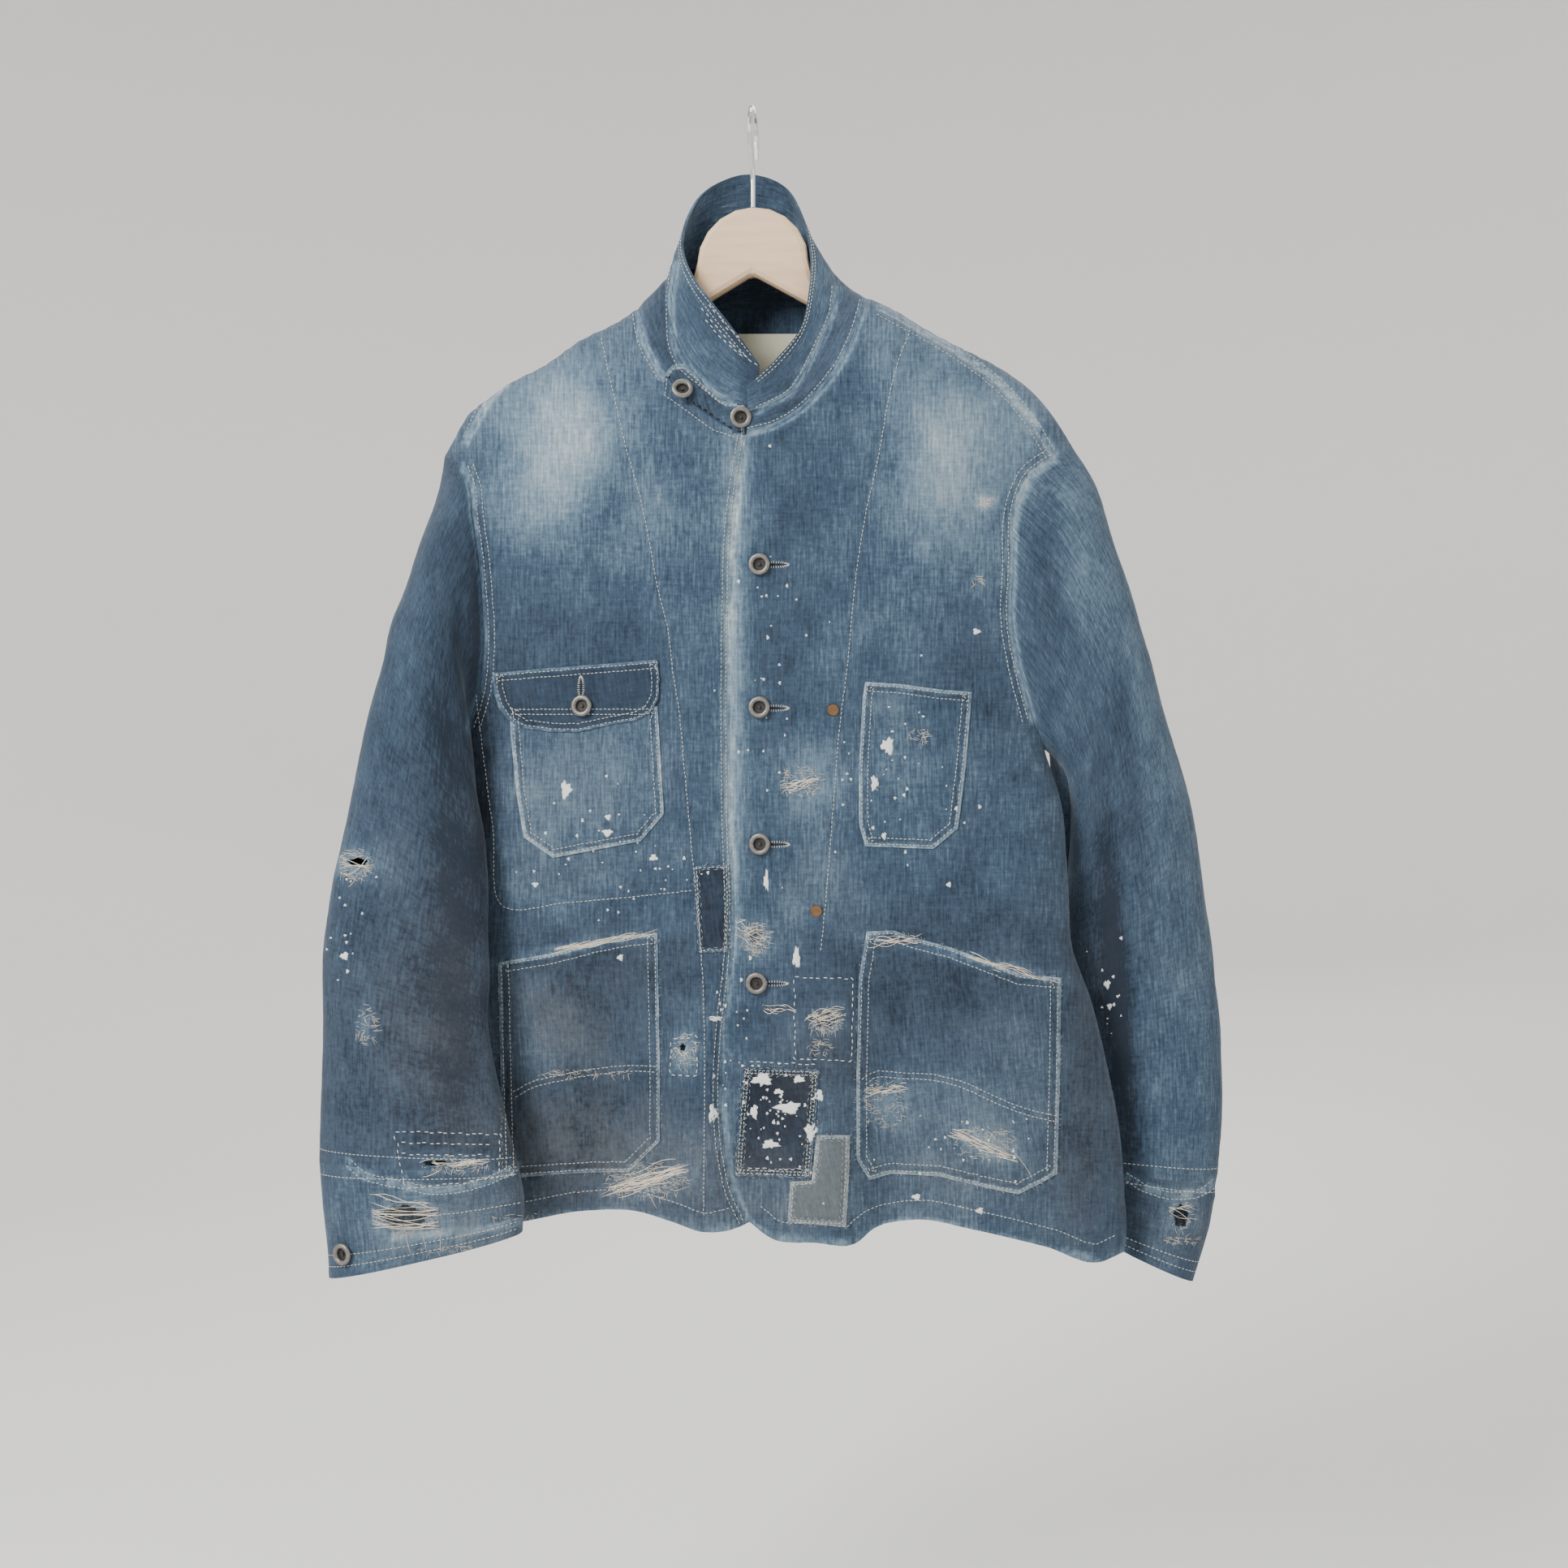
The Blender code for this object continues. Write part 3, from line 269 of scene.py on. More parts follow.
RIDGE_LEFT = graph(LEFT["ridge"])
RIDGE_RIGHT = graph(RIGHT["ridge"][::-1])
WIDTH_LEFT = graph(sorted((z, x) for x, z in LEFT["side"] + CHEST_WIDTH))
WIDTH_RIGHT = graph(sorted((z, abs(x)) for x, z in RIGHT["side"] + CHEST_WIDTH))
LAP_EDGE = graph([(z, x) for x, z in LEFT["edge"]][::-1])
NECK_RISE = 45.0
NECK_HALF = 89.0


def ridge_height(across):
    """Height of the shoulder line, carried on over the neck hole as a low arch."""
    side = np.where(across > 0, RIDGE_LEFT(across), RIDGE_RIGHT(across))
    inside = np.clip(1.0 - (across / NECK_HALF) ** 2, 0.0, 1.0)
    return side + NECK_RISE * inside


def middle_depth(across):
    """The hanger is turned, so the wearer's left half stands nearer the viewer."""
    return -HANGER_TURN * across


def body_round(across, up):
    """0 at the side seams and on the shoulder line, 1 where the body stands fullest."""
    width = np.where(across > 0, WIDTH_LEFT(up), WIDTH_RIGHT(up))
    share = np.clip(np.abs(across) / width, 0.0, 1.0)
    round_side = (1.0 - share**BODY_CURVE) ** (1.0 / BODY_CURVE)
    below = np.clip((ridge_height(across) - up) * MM / SHOULDER_ROUND, 0.0, 1.0)
    round_top = (1.0 - (1.0 - below) ** BODY_CURVE) ** (1.0 / BODY_CURVE)
    return round_side * round_top


def front_depth(across, up, lapped=False):
    round_share = body_round(across, up)
    depth = middle_depth(across) - FRONT_FULLNESS / MM * round_share
    depth = depth - crease_height(across, up, CREASES) * round_share
    if lapped:
        depth = depth + LAP / MM * smooth_step((across - LAP_EDGE(up) + 14.0) / 11.0)
    return depth


def back_depth(across, up):
    round_share = body_round(across, up)
    depth = middle_depth(across) + BACK_FULLNESS / MM * round_share
    return depth + crease_height(across, up, BACK_CREASES) * round_share


def samples(count, power=1.0):
    return np.linspace(0.0, 1.0, count + 1) ** power


def patch_between(top, bottom, inner, outer, rows):
    """Grid over four border lines, whose own bends fade out towards the middle."""
    v = rows[:, None, None]
    u = np.linspace(0.0, 1.0, len(top))[None, :, None]
    top_chord = top[0] * (1 - u) + top[-1] * u
    bottom_chord = bottom[0] * (1 - u) + bottom[-1] * u
    inner_chord = inner[0] * (1 - v) + inner[-1] * v
    outer_chord = outer[0] * (1 - v) + outer[-1] * v
    return (top_chord * (1 - v) + bottom_chord * v
            + (top[None] - top_chord) * (1 - v) ** 3 + (bottom[None] - bottom_chord) * v**4
            + (inner[:, None] - inner_chord) * (1 - u) ** 2 + (outer[:, None] - outer_chord) * u**2)


def body_grid(half, inner_line, neck_line, neck_columns, hem_lift=0.0):
    """Across and up of one body panel: neck and shoulder on top, armhole and side outside."""
    neck = curve(neck_line)(1.0 - samples(neck_columns, NECK_CROWDING)[::-1])
    shoulder = curve(half["ridge"])(samples(SHOULDER_COLUMNS))
    top = np.vstack([neck, shoulder[1:]])
    armhole = curve(half["armhole"])(samples(ARMHOLE_ROWS, TOP_CROWDING))
    side = curve(half["side"])(samples(SIDE_ROWS))
    outer = np.vstack([armhole, side[1:]])
    down = np.r_[samples(ARMHOLE_ROWS, TOP_CROWDING) * 0.38, 0.38 + samples(SIDE_ROWS)[1:] * 0.62]
    inner = curve(inner_line)(down)
    bottom = curve(half["hem"])(np.linspace(0.0, 1.0, len(top)))
    if hem_lift:
        share = np.linspace(1.0, 0.0, len(top)) ** 0.5
        bottom = np.stack([inner[-1, 0] + (outer[-1, 0] - inner[-1, 0]) * (1 - share**2),
                           outer[-1, 1] + (inner[-1, 1] - outer[-1, 1]) * share], axis=-1)
    return patch_between(top, bottom, inner, outer, down)


def sleeve_grid(rails, loop_front, loop_back):
    """World points of the sleeve and its cuff, front half and back half, from the armhole."""
    outer, inner = curve(rails["outer"]), curve(rails["inner"])
    cuff_outer, cuff_inner = curve(rails["cuff_outer"]), curve(rails["cuff_inner"])
    front, back = graph(rails["front"]), graph(rails["back"])
    turn = np.pi * np.linspace(0.0, 1.0, ARMHOLE_ROWS + 1)
    power = 2.0 / SLEEVE_SECTION
    along = np.sign(np.cos(turn)) * np.abs(np.cos(turn)) ** power
    across = np.abs(np.sin(turn)) ** power
    fold_share = np.abs(np.sin(turn)) ** 0.6 * (1.0 - np.cos(turn)) / 1.4

    def section(out, inn, depth, sign, fold=0.0):
        out, inn = placed(*out), placed(*inn)
        axis = out - inn
        half = np.linalg.norm(axis) / 2
        axis = axis / (2 * half)
        way = np.array([0.0, sign, 0.0])
        way = way - axis * way.dot(axis)
        way = way / np.linalg.norm(way)
        ring = (out + inn) / 2 + along[:, None] * half * axis + across[:, None] * depth * MM * way
        return ring + fold_share[:, None] * np.array([fold * MM, 0.0, 0.0])

    halves = []
    front_fold, back_fold = graph(rails["front_fold"]), graph(rails["back_fold"])
    sides = ((-1.0, front, loop_front, front_fold), (1.0, back, loop_back, back_fold))
    for sign, depth, loop, fold in sides:
        start = section(outer(0.0), inner(0.0), depth(0.0), sign)
        rows = []
        for t in samples(SLEEVE_ROWS, 1.1):
            settle = max(0.0, 1.0 - t / SLEEVE_SETTLE) ** 2
            rows.append(section(outer(t), inner(t**INNER_CROWDING), depth(t), sign, fold(t))
                        + (loop - start) * settle)
        cuff = [section(cuff_outer(t), cuff_inner(t), depth(1.0), sign) for t in samples(CUFF_ROWS)]
        halves.append((np.array(rows), np.array(cuff)))
    return halves


PIXEL_MM = 0.63
MIDDLE_PIXEL = (927, 108)


def from_pixels(points):
    """Outline-plane millimetres of points given in the photo's pixels."""
    points = np.atleast_2d(np.array(points, float))
    return np.stack([(points[:, 0] - MIDDLE_PIXEL[0]) * PIXEL_MM,
                     -(points[:, 1] - MIDDLE_PIXEL[1]) * PIXEL_MM], axis=-1)


def to_pixels(world):
    """Where the eye sees a world point, in the photo's pixels."""
    world = np.asarray(world, float)
    scale = (OUTLINE_DEPTH - EYE[1]) / (world[..., 1] - EYE[1])
    across = EYE[0] + (world[..., 0] - EYE[0]) * scale
    up = EYE[2] + (world[..., 2] - EYE[2]) * scale
    return np.stack([across / MM / PIXEL_MM + MIDDLE_PIXEL[0], MIDDLE_PIXEL[1] - up / MM / PIXEL_MM], axis=-1)


class Panel:
    """Grid of outer points, with the normals it shares with the panels it is sewn to."""

    def __init__(self, points, turned, thickness=CLOTH):
        self.points = points
        self.thickness = thickness
        self.normals = None
        rows, columns = points.shape[:2]
        number = np.arange(rows * columns).reshape(rows, columns)
        a, b, c, d = (n.ravel() for n in (number[:-1, :-1], number[:-1, 1:], number[1:, 1:], number[1:, :-1]))
        triangles = np.vstack([np.stack([a, b, c], 1), np.stack([a, c, d], 1)])
        self.triangles = triangles[:, ::-1] if turned else triangles
        quads = np.stack([a, b, c, d], 1)
        self.quads = quads[:, ::-1] if turned else quads


def share_normals(panels):
    """Mitred normals: panels that meet at a point offset it along one common direction."""
    flat = np.vstack([p.points.reshape(-1, 3) for p in panels])
    _, weld = np.unique(np.round(flat / 1e-6).astype(np.int64), axis=0, return_inverse=True)
    weld = weld.reshape(-1)
    start, triangles = 0, []
    for panel in panels:
        triangles.append(panel.triangles + start)
        start += panel.points.shape[0] * panel.points.shape[1]
    triangles = np.vstack(triangles)
    p = flat[triangles]
    normal = np.cross(p[:, 1] - p[:, 0], p[:, 2] - p[:, 0])
    size = np.linalg.norm(normal, axis=1)
    keep = size > 1e-12
    triangles, p, normal = triangles[keep], p[keep], normal[keep] / size[keep, None]
    count = weld.max() + 1
    total, lean, weight = np.zeros((count, 3)), np.zeros((count, 3, 3)), np.zeros(count)
    for k in range(3):
        e1, e2 = p[:, (k + 1) % 3] - p[:, k], p[:, (k + 2) % 3] - p[:, k]
        cosine = np.sum(e1 * e2, axis=1) / (np.linalg.norm(e1, axis=1) * np.linalg.norm(e2, axis=1))
        angle = np.arccos(np.clip(cosine, -1, 1))
        place = weld[triangles[:, k]]
        np.add.at(total, place, normal * angle[:, None])
        np.add.at(lean, place, normal[:, :, None] * normal[:, None, :] * angle[:, None, None])
        np.add.at(weight, place, angle)
    mean = total / np.linalg.norm(total, axis=1, keepdims=True)
    hold = MITRE_HOLD * weight
    lean += np.eye(3) * hold[:, None, None]
    mitre = np.linalg.solve(lean, (total + mean * hold[:, None])[..., None])[..., 0]
    mitre *= np.minimum(1.0, MITRE_LIMIT / np.linalg.norm(mitre, axis=1, keepdims=True))
    full = mitre[weld]
    start = 0
    for panel in panels:
        count = panel.points.shape[0] * panel.points.shape[1]
        panel.normals = full[start:start + count].reshape(panel.points.shape)
        start += count


def soft_wrinkles(p):
    """Small handling creases all over, in millimetres, the same on every panel that meets at a point."""
    x, y, z = p[..., 0], p[..., 1], p[..., 2]
    warp = 0.030 * np.sin(23 * z + 11 * x) + 0.018 * np.sin(41 * x - 17 * z + 2)
    long_folds = np.sin(46 * (x + warp) + 9 * z) * np.sin(9 * z + 6 * x + 1)
    cross_folds = np.sin(63 * (z + 0.7 * warp) + 21 * x + 31 * y) * np.sin(17 * x - 7 * z)
    crumple = np.sin(151 * x + 60 * warp * 9 + 3) * np.sin(133 * z + 47 * y + 50 * warp)
    return 1.10 * long_folds + 0.60 * cross_folds + 0.13 * crumple


def near_lines(points, lines):
    """Distance of points from the nearest of some polylines, and the way along that one."""
    best = np.full(len(points), 1e9)
    along = np.zeros(len(points))
    for line in lines:
        line = np.array(line, float)
        run = 0.0
        for a, b in zip(line[:-1], line[1:]):
            ab = b - a
            size = np.linalg.norm(ab)
            t = np.clip(((points - a) @ ab) / size**2, 0, 1)
            gap = np.linalg.norm(points - a - t[:, None] * ab, axis=1)
            closer = gap < best
            best[closer] = gap[closer]
            along[closer] = (run + t * size)[closer]
            run += size
    return best, along


# Sewing lines of the front, in the photo's pixels
PLACKET = [(921, 536), (906, 634), (901, 764), (901, 1000), (904, 1172), (893, 1278), (890, 1336), (895, 1422),
           (906, 1470), (922, 1504)]
FACING_RIGHT = [(741, 415), (754, 473), (771, 547), (788, 607), (801, 668), (810, 720), (823, 772), (829, 821),
                (838, 882), (845, 959), (852, 1035), (855, 1066), (865, 1180), (868, 1500)]
FACING_LEFT = [(1121, 410), (1108, 443), (1095, 495), (1082, 568), (1069, 625), (1058, 690), (1052, 742),
               (1045, 820), (1035, 898), (1029, 974), (1023, 1051), (1018, 1112), (1012, 1173)]
NECK_RIGHT = [(786, 379), (795, 423), (809, 449), (818, 464)]
NECK_LEFT = [(1069, 364), (1061, 393), (1050, 423), (1035, 452), (1015, 478), (985, 508), (956, 525), (921, 534)]
HEM_LEFT = [(922, 1504), (952, 1527), (1003, 1531), (1054, 1533), (1080, 1513), (1129, 1503), (1202, 1516),
            (1289, 1537), (1357, 1556), (1386, 1543)]
HEM_RIGHT = [(905, 1512), (868, 1519), (829, 1506), (783, 1492), (721, 1492), (649, 1505), (562, 1519), (486, 1524)]
ARMHOLE_RIGHT = [(571, 575), (580, 600), (583, 634), (589, 677), (594, 729), (597, 790), (592, 850), (578, 898)]
ARMHOLE_LEFT = [(1299, 564), (1269, 586), (1258, 607), (1251, 634), (1249, 699), (1247, 764), (1256, 820),
                (1273, 885)]
YOKE_LEFT = [(1085, 378), (1169, 425), (1230, 469), (1269, 512), (1299, 560)]
YOKE_RIGHT = [(772, 383), (700, 420), (640, 455), (604, 490), (575, 545)]
LEAF_SEAM_RIGHT = [(834, 326), (828, 364), (828, 393), (830, 423), (839, 446), (865, 469), (894, 494)]
LEAF_SEAM_LEFT = [(1032, 352), (1028, 385), (1008, 430), (975, 485), (935, 507)]
INNER_POCKET = [(587, 855), (596, 930), (608, 1020), (621, 1117), (700, 1112), (780, 1105), (854, 1097)]
SLEEVE_CREASE = [(1360, 800), (1388, 1076), (1400, 1200), (1411, 1344), (1410, 1440)]
CUFF_RIGHT = [(430, 1432), (449, 1448), (469, 1454), (509, 1462), (528, 1466), (568, 1464), (608, 1452), (639, 1436)]
CUFF_LEFT = [(1386, 1448), (1415, 1465), (1453, 1473), (1484, 1467), (1499, 1455)]
SEAMS = [PLACKET, FACING_RIGHT, FACING_LEFT, NECK_RIGHT, NECK_LEFT, HEM_LEFT, HEM_RIGHT, ARMHOLE_RIGHT,
         ARMHOLE_LEFT, YOKE_LEFT, YOKE_RIGHT, LEAF_SEAM_RIGHT, LEAF_SEAM_LEFT, CUFF_RIGHT, CUFF_LEFT]

WORN_SEAMS = [line for line in SEAMS if line not in (FACING_RIGHT, FACING_LEFT)]

# Soft zones of wear and painted shade, in the photo's pixels: centre, half sizes, slant, paler (+) or deeper (-), dirt.
# The deeper zones along the left sleeve's crease, beside both armhole seams, between each sleeve and the body side and
# inside the back neck are painted shade.
# Painted shade rows, by centre: (1395, 960) and (1378, 1230) on the left sleeve's crease, (1290, 700) and (590, 760) at
# the armholes, (560, 1180), (1340, 1240) and (1330, 1440) between sleeve and body, (930, 400) inside the back neck.
WEAR_AND_SHADE_ZONES = [
    (692, 552, 62, 115, 0.35, 0.44, 0), (640, 500, 60, 60, 0, 0.16, 0), (1172, 560, 58, 130, -0.25, 0.40, 0.15),
    (720, 780, 120, 60, 0, -0.08, 0), (1190, 800, 60, 70, 0, -0.08, 0), (880, 640, 50, 100, 0, 0.05, 0),
    (1250, 520, 50, 70, -0.5, 0.18, 0), (800, 640, 45, 120, 0, 0.12, 0), (1110, 700, 60, 120, 0, 0.08, 0),
    (905, 820, 16, 330, 0, 0.30, 0), (960, 700, 40, 260, 0, -0.06, 0), (1000, 960, 45, 45, 0, 0.28, 0.2),
    (640, 730, 40, 120, 0, -0.05, 0), (700, 1000, 90, 90, 0, 0.10, 0.5), (760, 1200, 120, 60, 0, -0.14, 0.2),
    (1150, 1210, 140, 90, 0, -0.20, 0.1), (1010, 1300, 60, 60, 0, -0.08, 0.4), (560, 1180, 30, 300, 0, -0.18, 0),
    (720, 1430, 120, 110, 0, -0.08, 0.8), (1170, 1440, 130, 100, 0, 0.08, 0.55), (700, 1260, 60, 40, 0.7, 0.0, 1.0),
    (850, 1450, 60, 60, 0, 0.02, 0.7), (960, 1480, 80, 50, 0, 0.02, 0.6), (1250, 1300, 60, 80, 0, 0.06, 0.3),
    (1330, 1440, 40, 100, 0, -0.10, 0.3), (500, 760, 40, 150, 0.2, 0.04, 0), (470, 1060, 50, 60, 0, 0.14, 0.3),
    (540, 1000, 50, 220, 0.1, -0.06, 0), (520, 1270, 90, 140, 0, -0.05, 0.5), (560, 1520, 90, 50, 0, 0.14, 0.8),
    (1330, 640, 40, 110, -0.3, 0.12, 0), (1390, 820, 50, 160, -0.3, 0.10, 0), (1460, 1100, 50, 200, 0, 0.04, 0.2),
    (1378, 1230, 17, 230, -0.07, -0.42, 0), (1395, 960, 14, 200, -0.1, -0.15, 0), (1455, 1500, 45, 50, 0, -0.02, 0.8),
    (1290, 700, 22, 160, 0, -0.10, 0), (590, 760, 10, 130, 0, -0.25, 0), (600, 980, 14, 130, 0.1, -0.22, 0),
    (436, 1064, 24, 17, 0, 0.32, 0), (1018, 1258, 24, 18, 0, 0.32, 0), (500, 1500, 44, 26, 0, 0.28, 0),
    (560, 1434, 48, 12, 0, 0.34, 0), (930, 1156, 18, 20, 0, 0.26, 0), (843, 1296, 14, 24, 0, 0.32, 0),
    (1455, 1497, 18, 22, 0, 0.26, 0), (795, 1455, 58, 20, -0.2, 0.26, 0), (1088, 1360, 26, 30, 0, 0.22, 0),
    (1212, 1408, 42, 18, 0.4, 0.30, 0), (1214, 618, 12, 9, 0, 0.34, 0), (450, 1262, 12, 26, 0, 0.30, 0),
    (715, 1166, 100, 7, -0.17, 0.30, 0), (1190, 1180, 120, 8, 0.22, 0.30, 0), (1095, 870, 30, 14, 0, 0.10, 0.3),
    (710, 1390, 90, 60, -0.1, -0.06, 0.3), (1180, 1420, 110, 50, 0.15, -0.05, 0.2),
    (930, 600, 30, 120, 0, 0.06, 0), (930, 230, 50, 40, 0, -0.10, 0), (930, 400, 45, 60, 0, -0.25, 0),
    (880, 300, 30, 60, 0.5, 0.08, 0), (1000, 330, 25, 80, 0, 0.10, 0), (860, 430, 30, 30, 0, 0.06, 0),
    (1085, 450, 30, 60, 0, 0.10, 0), (1340, 1240, 30, 200, 0, -0.14, 0.2), (1005, 1100, 60, 60, 0, 0.10, 0.3),
]


def wear_and_painted_shade(world, outward):
    """Paleness, painted shade, dirt and seam wear of points in front, from the photo; behind, plainer: paler shoulders,
    darker towards the hem, even dirt and a worn hem edge.
    """
    pixel = to_pixels(world)
    fade = np.zeros(len(world))
    dirt = np.zeros(len(world))
    # pale is signed; its negative zones are painted shade.
    for cx, cy, rx, ry, slant, pale, brown in WEAR_AND_SHADE_ZONES:
        dx, dy = pixel[:, 0] - cx, pixel[:, 1] - cy
        u = (dx * math.cos(slant) + dy * math.sin(slant)) / rx
        v = (-dx * math.sin(slant) + dy * math.cos(slant)) / ry
        g = np.exp(-(u * u + v * v))
        fade += pale * g
        dirt += brown * g
    front = smooth_step(0.5 - 1.6 * outward[:, 1])
    x, z = world[:, 0], world[:, 2]
    behind = 0.16 * np.exp(-(((np.abs(x) - 0.13) / 0.06) ** 2 + ((z + 0.27) / 0.07) ** 2))
    behind -= 0.10 * smooth_step((-z - 0.75) / 0.2)
    gap, _ = near_lines(pixel, WORN_SEAMS)
    edge = 0.62 * np.exp(-((gap - 2.5) / 2.6) ** 2) * front
    free = np.exp(-((z + 0.905) / 0.012) ** 2) * 0.5
    return fade * front + behind * (1 - front), dirt * front + 0.15, np.maximum(edge, free * (1 - front))


def finish_mesh(name, vertices, faces, uv=None, smooth=60):
    """Linked mesh object, smooth, with cloth coordinates where they are given."""
    mesh = bpy.data.meshes.new(name)
    mesh.from_pydata(np.asarray(vertices).tolist(), [], [tuple(int(i) for i in f) for f in faces])
    thing = bpy.data.objects.new(name, mesh)
    bpy.context.collection.objects.link(thing)
    if uv is not None:
        layer = mesh.uv_layers.new(name="cloth")
        corner = np.zeros(len(mesh.loops), int)
        mesh.loops.foreach_get("vertex_index", corner)
        layer.data.foreach_set("uv", np.asarray(uv)[corner].ravel())
    mesh.shade_smooth()
    if smooth:
        mesh.set_sharp_from_angle(angle=math.radians(smooth))
    return thing


def turn_out(thing):
    """Turns the faces of a closed mesh outward."""
    work = bmesh.new()
    work.from_mesh(thing.data)
    bmesh.ops.recalc_face_normals(work, faces=work.faces)
    work.to_mesh(thing.data)
    work.free()


def add_wear_and_painted_shade(thing, extra_fade=0.0, outline=None):
    mesh = thing.data
    points = np.zeros(len(mesh.vertices) * 3)
    normals = np.zeros(len(mesh.vertices) * 3)
    mesh.vertices.foreach_get("co", points)
    mesh.vertices.foreach_get("normal", normals)
    fade, dirt, edge = wear_and_painted_shade(points.reshape(-1, 3), normals.reshape(-1, 3))
    if outline is not None:
        flat = (to_pixels(points.reshape(-1, 3)) - MIDDLE_PIXEL) * [PIXEL_MM, -PIXEL_MM]
        gap, _ = near_lines(flat, [np.vstack([outline, outline[:1]])])
        edge = np.maximum(edge, 0.85 * np.exp(-((gap - 1.0) / 1.3) ** 2))
        fade = fade - 0.10 * np.exp(-((gap - 4.2) / 1.2) ** 2)
    # fade carries the wear's paleness and, where negative, painted shade.
    for label, values in (("fade", fade + extra_fade), ("dirt", dirt), ("edge", edge)):
        mesh.attributes.new(label, "FLOAT", "POINT").data.foreach_set("value", values.astype(np.float32))


def wall(name, panel, uv, relief=0.0):
    """Closed fine wall of a panel."""
    rows, columns = panel.points.shape[:2]
    count = rows * columns
    points = panel.points + panel.normals * np.asarray(relief)[..., None] * MM
    panel.outer = points
    top = points.reshape(-1, 3)
    base = (points - panel.normals * panel.thickness).reshape(-1, 3)
    number = np.arange(count).reshape(rows, columns)
    ring = np.concatenate([number[0, :-1], number[:-1, -1], number[-1, :0:-1], number[:0:-1, 0]])
    after = np.roll(ring, -1)
    sides = np.stack([ring, ring + count, after + count, after], 1)
    faces = np.vstack([panel.quads, panel.quads[:, ::-1] + count, sides])
    thing = finish_mesh(name, np.vstack([top, base]), faces, np.vstack([uv.reshape(-1, 2)] * 2))
    turn_out(thing)
    thing.data.shade_smooth()
    thing.data.set_sharp_from_angle(angle=math.radians(60))
    return thing


def body_panels():
    """All cloth grids, as the part has them, on a finer mesh."""
    flat = {
        "front_left": body_grid(LEFT, LEFT["edge"], LEFT["neck"], NECK_COLUMNS),
        "front_right": body_grid(RIGHT, RIGHT["edge"], RIGHT["neck"], NECK_COLUMNS),
        "back_left": body_grid(LEFT, BACK_SEAM, [(3, -172), (50, -170), (89, -163)],
                               BACK_NECK_COLUMNS, BACK_HEM_LIFT),
        "back_right": body_grid(RIGHT, BACK_SEAM, [(3, -172), (-48, -174), (-89, -171)],
                                BACK_NECK_COLUMNS, BACK_HEM_LIFT),
    }
    grid, uv = {}, {}
    for name, place in flat.items():
        across, up = place[..., 0], place[..., 1]
        depth = back_depth(across, up) if "back" in name else front_depth(across, up, name == "front_right")
        grid[name] = placed(across, up, depth)
        uv[name] = place * MM
    for side in ("left", "right"):
        grid["back_" + side][ARMHOLE_ROWS:, -1] = grid["front_" + side][ARMHOLE_ROWS:, -1]
        grid["back_" + side][0, -SHOULDER_COLUMNS - 1:] = grid["front_" + side][0, -SHOULDER_COLUMNS - 1:]
    panels = {name: Panel(points, name in ("front_left", "back_right")) for name, points in grid.items()}
    for side, rails in (("left", LEFT_SLEEVE), ("right", RIGHT_SLEEVE)):
        loops = [grid[part + side][:ARMHOLE_ROWS + 1, -1] for part in ("front_", "back_")]
        (front, front_cuff), (back, back_cuff) = sleeve_grid(rails, *loops)
        for half, sleeve, cuff in (("front", front, front_cuff), ("back", back, back_cuff)):
            turned = (side == "right") == (half == "front")
            for part, points, thick in (("sleeve", sleeve, CLOTH), ("cuff", cuff, COLLAR_CLOTH)):
                name = f"{part}_{side}_{half}"
                panels[name] = Panel(points, turned, thick)
                rows, columns = points.shape[:2]
                u = np.linspace(0, 0.2, columns)[None, :] + 0 * points[..., 0]
                v = np.linspace(0, 0.58 if part == "sleeve" else 0.09, rows)[:, None] + 0 * points[..., 0]
                uv[name] = np.stack([u, v], -1)
    neck = np.vstack([grid["front_right"][0, :NECK_COLUMNS + 1],
                      grid["back_right"][0, BACK_NECK_COLUMNS - 1::-1],
                      grid["back_left"][0, 1:BACK_NECK_COLUMNS + 1],
                      grid["front_left"][0, NECK_COLUMNS - 1::-1]])
    way = np.r_[0.0, np.cumsum(np.linalg.norm(np.diff(neck, axis=0), axis=1))]
    way /= way[-1]
    stand_top = placed(*curve(STAND_TOP)(way).T)
    leaf_edge = placed(*curve(LEAF_EDGE)(way).T)
    rise = samples(STAND_ROWS)[:, None, None]
    stand = neck[None] * (1 - rise) + stand_top[None] * rise
    rise = samples(LEAF_ROWS)[:, None, None]
    leaf = stand_top[None] * (1 - rise) + leaf_edge[None] * rise
    for name, points, tall in (("collar_stand", stand, 0.035), ("collar_leaf", leaf, 0.06)):
        panels[name] = Panel(points, True, COLLAR_CLOTH)
        u = (way * 0.47)[None, :] + 0 * points[..., 0]
        v = np.linspace(0, tall, len(points))[:, None] + 0 * points[..., 0]
        uv[name] = np.stack([v, u], -1)
    share_normals(list(panels.values()))
    return panels, uv


def puckers(points, normals):
    """Roping along sewn edges and hems, in millimetres."""
    pixel = to_pixels(points.reshape(-1, 3))
    front = smooth_step(0.4 - 1.6 * normals.reshape(-1, 3)[:, 1])
    gap, along = near_lines(pixel, SEAMS)
    bite = -0.55 * np.exp(-(gap / 5.0) ** 2) + 0.45 * np.exp(-((gap - 12) / 7.0) ** 2)
    rope = 0.42 * np.sin(along / 3.3 + 0.6 * np.sin(along / 17.0)) * np.exp(-((gap - 9) / 9.0) ** 2)
    return ((bite + rope) * front).reshape(points.shape[:2])


def sight_outline(rip, index, steps=34):
    """Ragged outline of a rip on the outline plane."""
    across, up, half_width, half_height = rip
    turn = 2 * np.pi * np.arange(steps) / steps
    reach = 0.86 + 0.10 * np.sin(5 * turn + index) + 0.07 * np.sin(13 * turn + 2 * index)
    return np.stack([across + half_width * reach * np.cos(turn), up + half_height * reach * np.sin(turn)], -1)


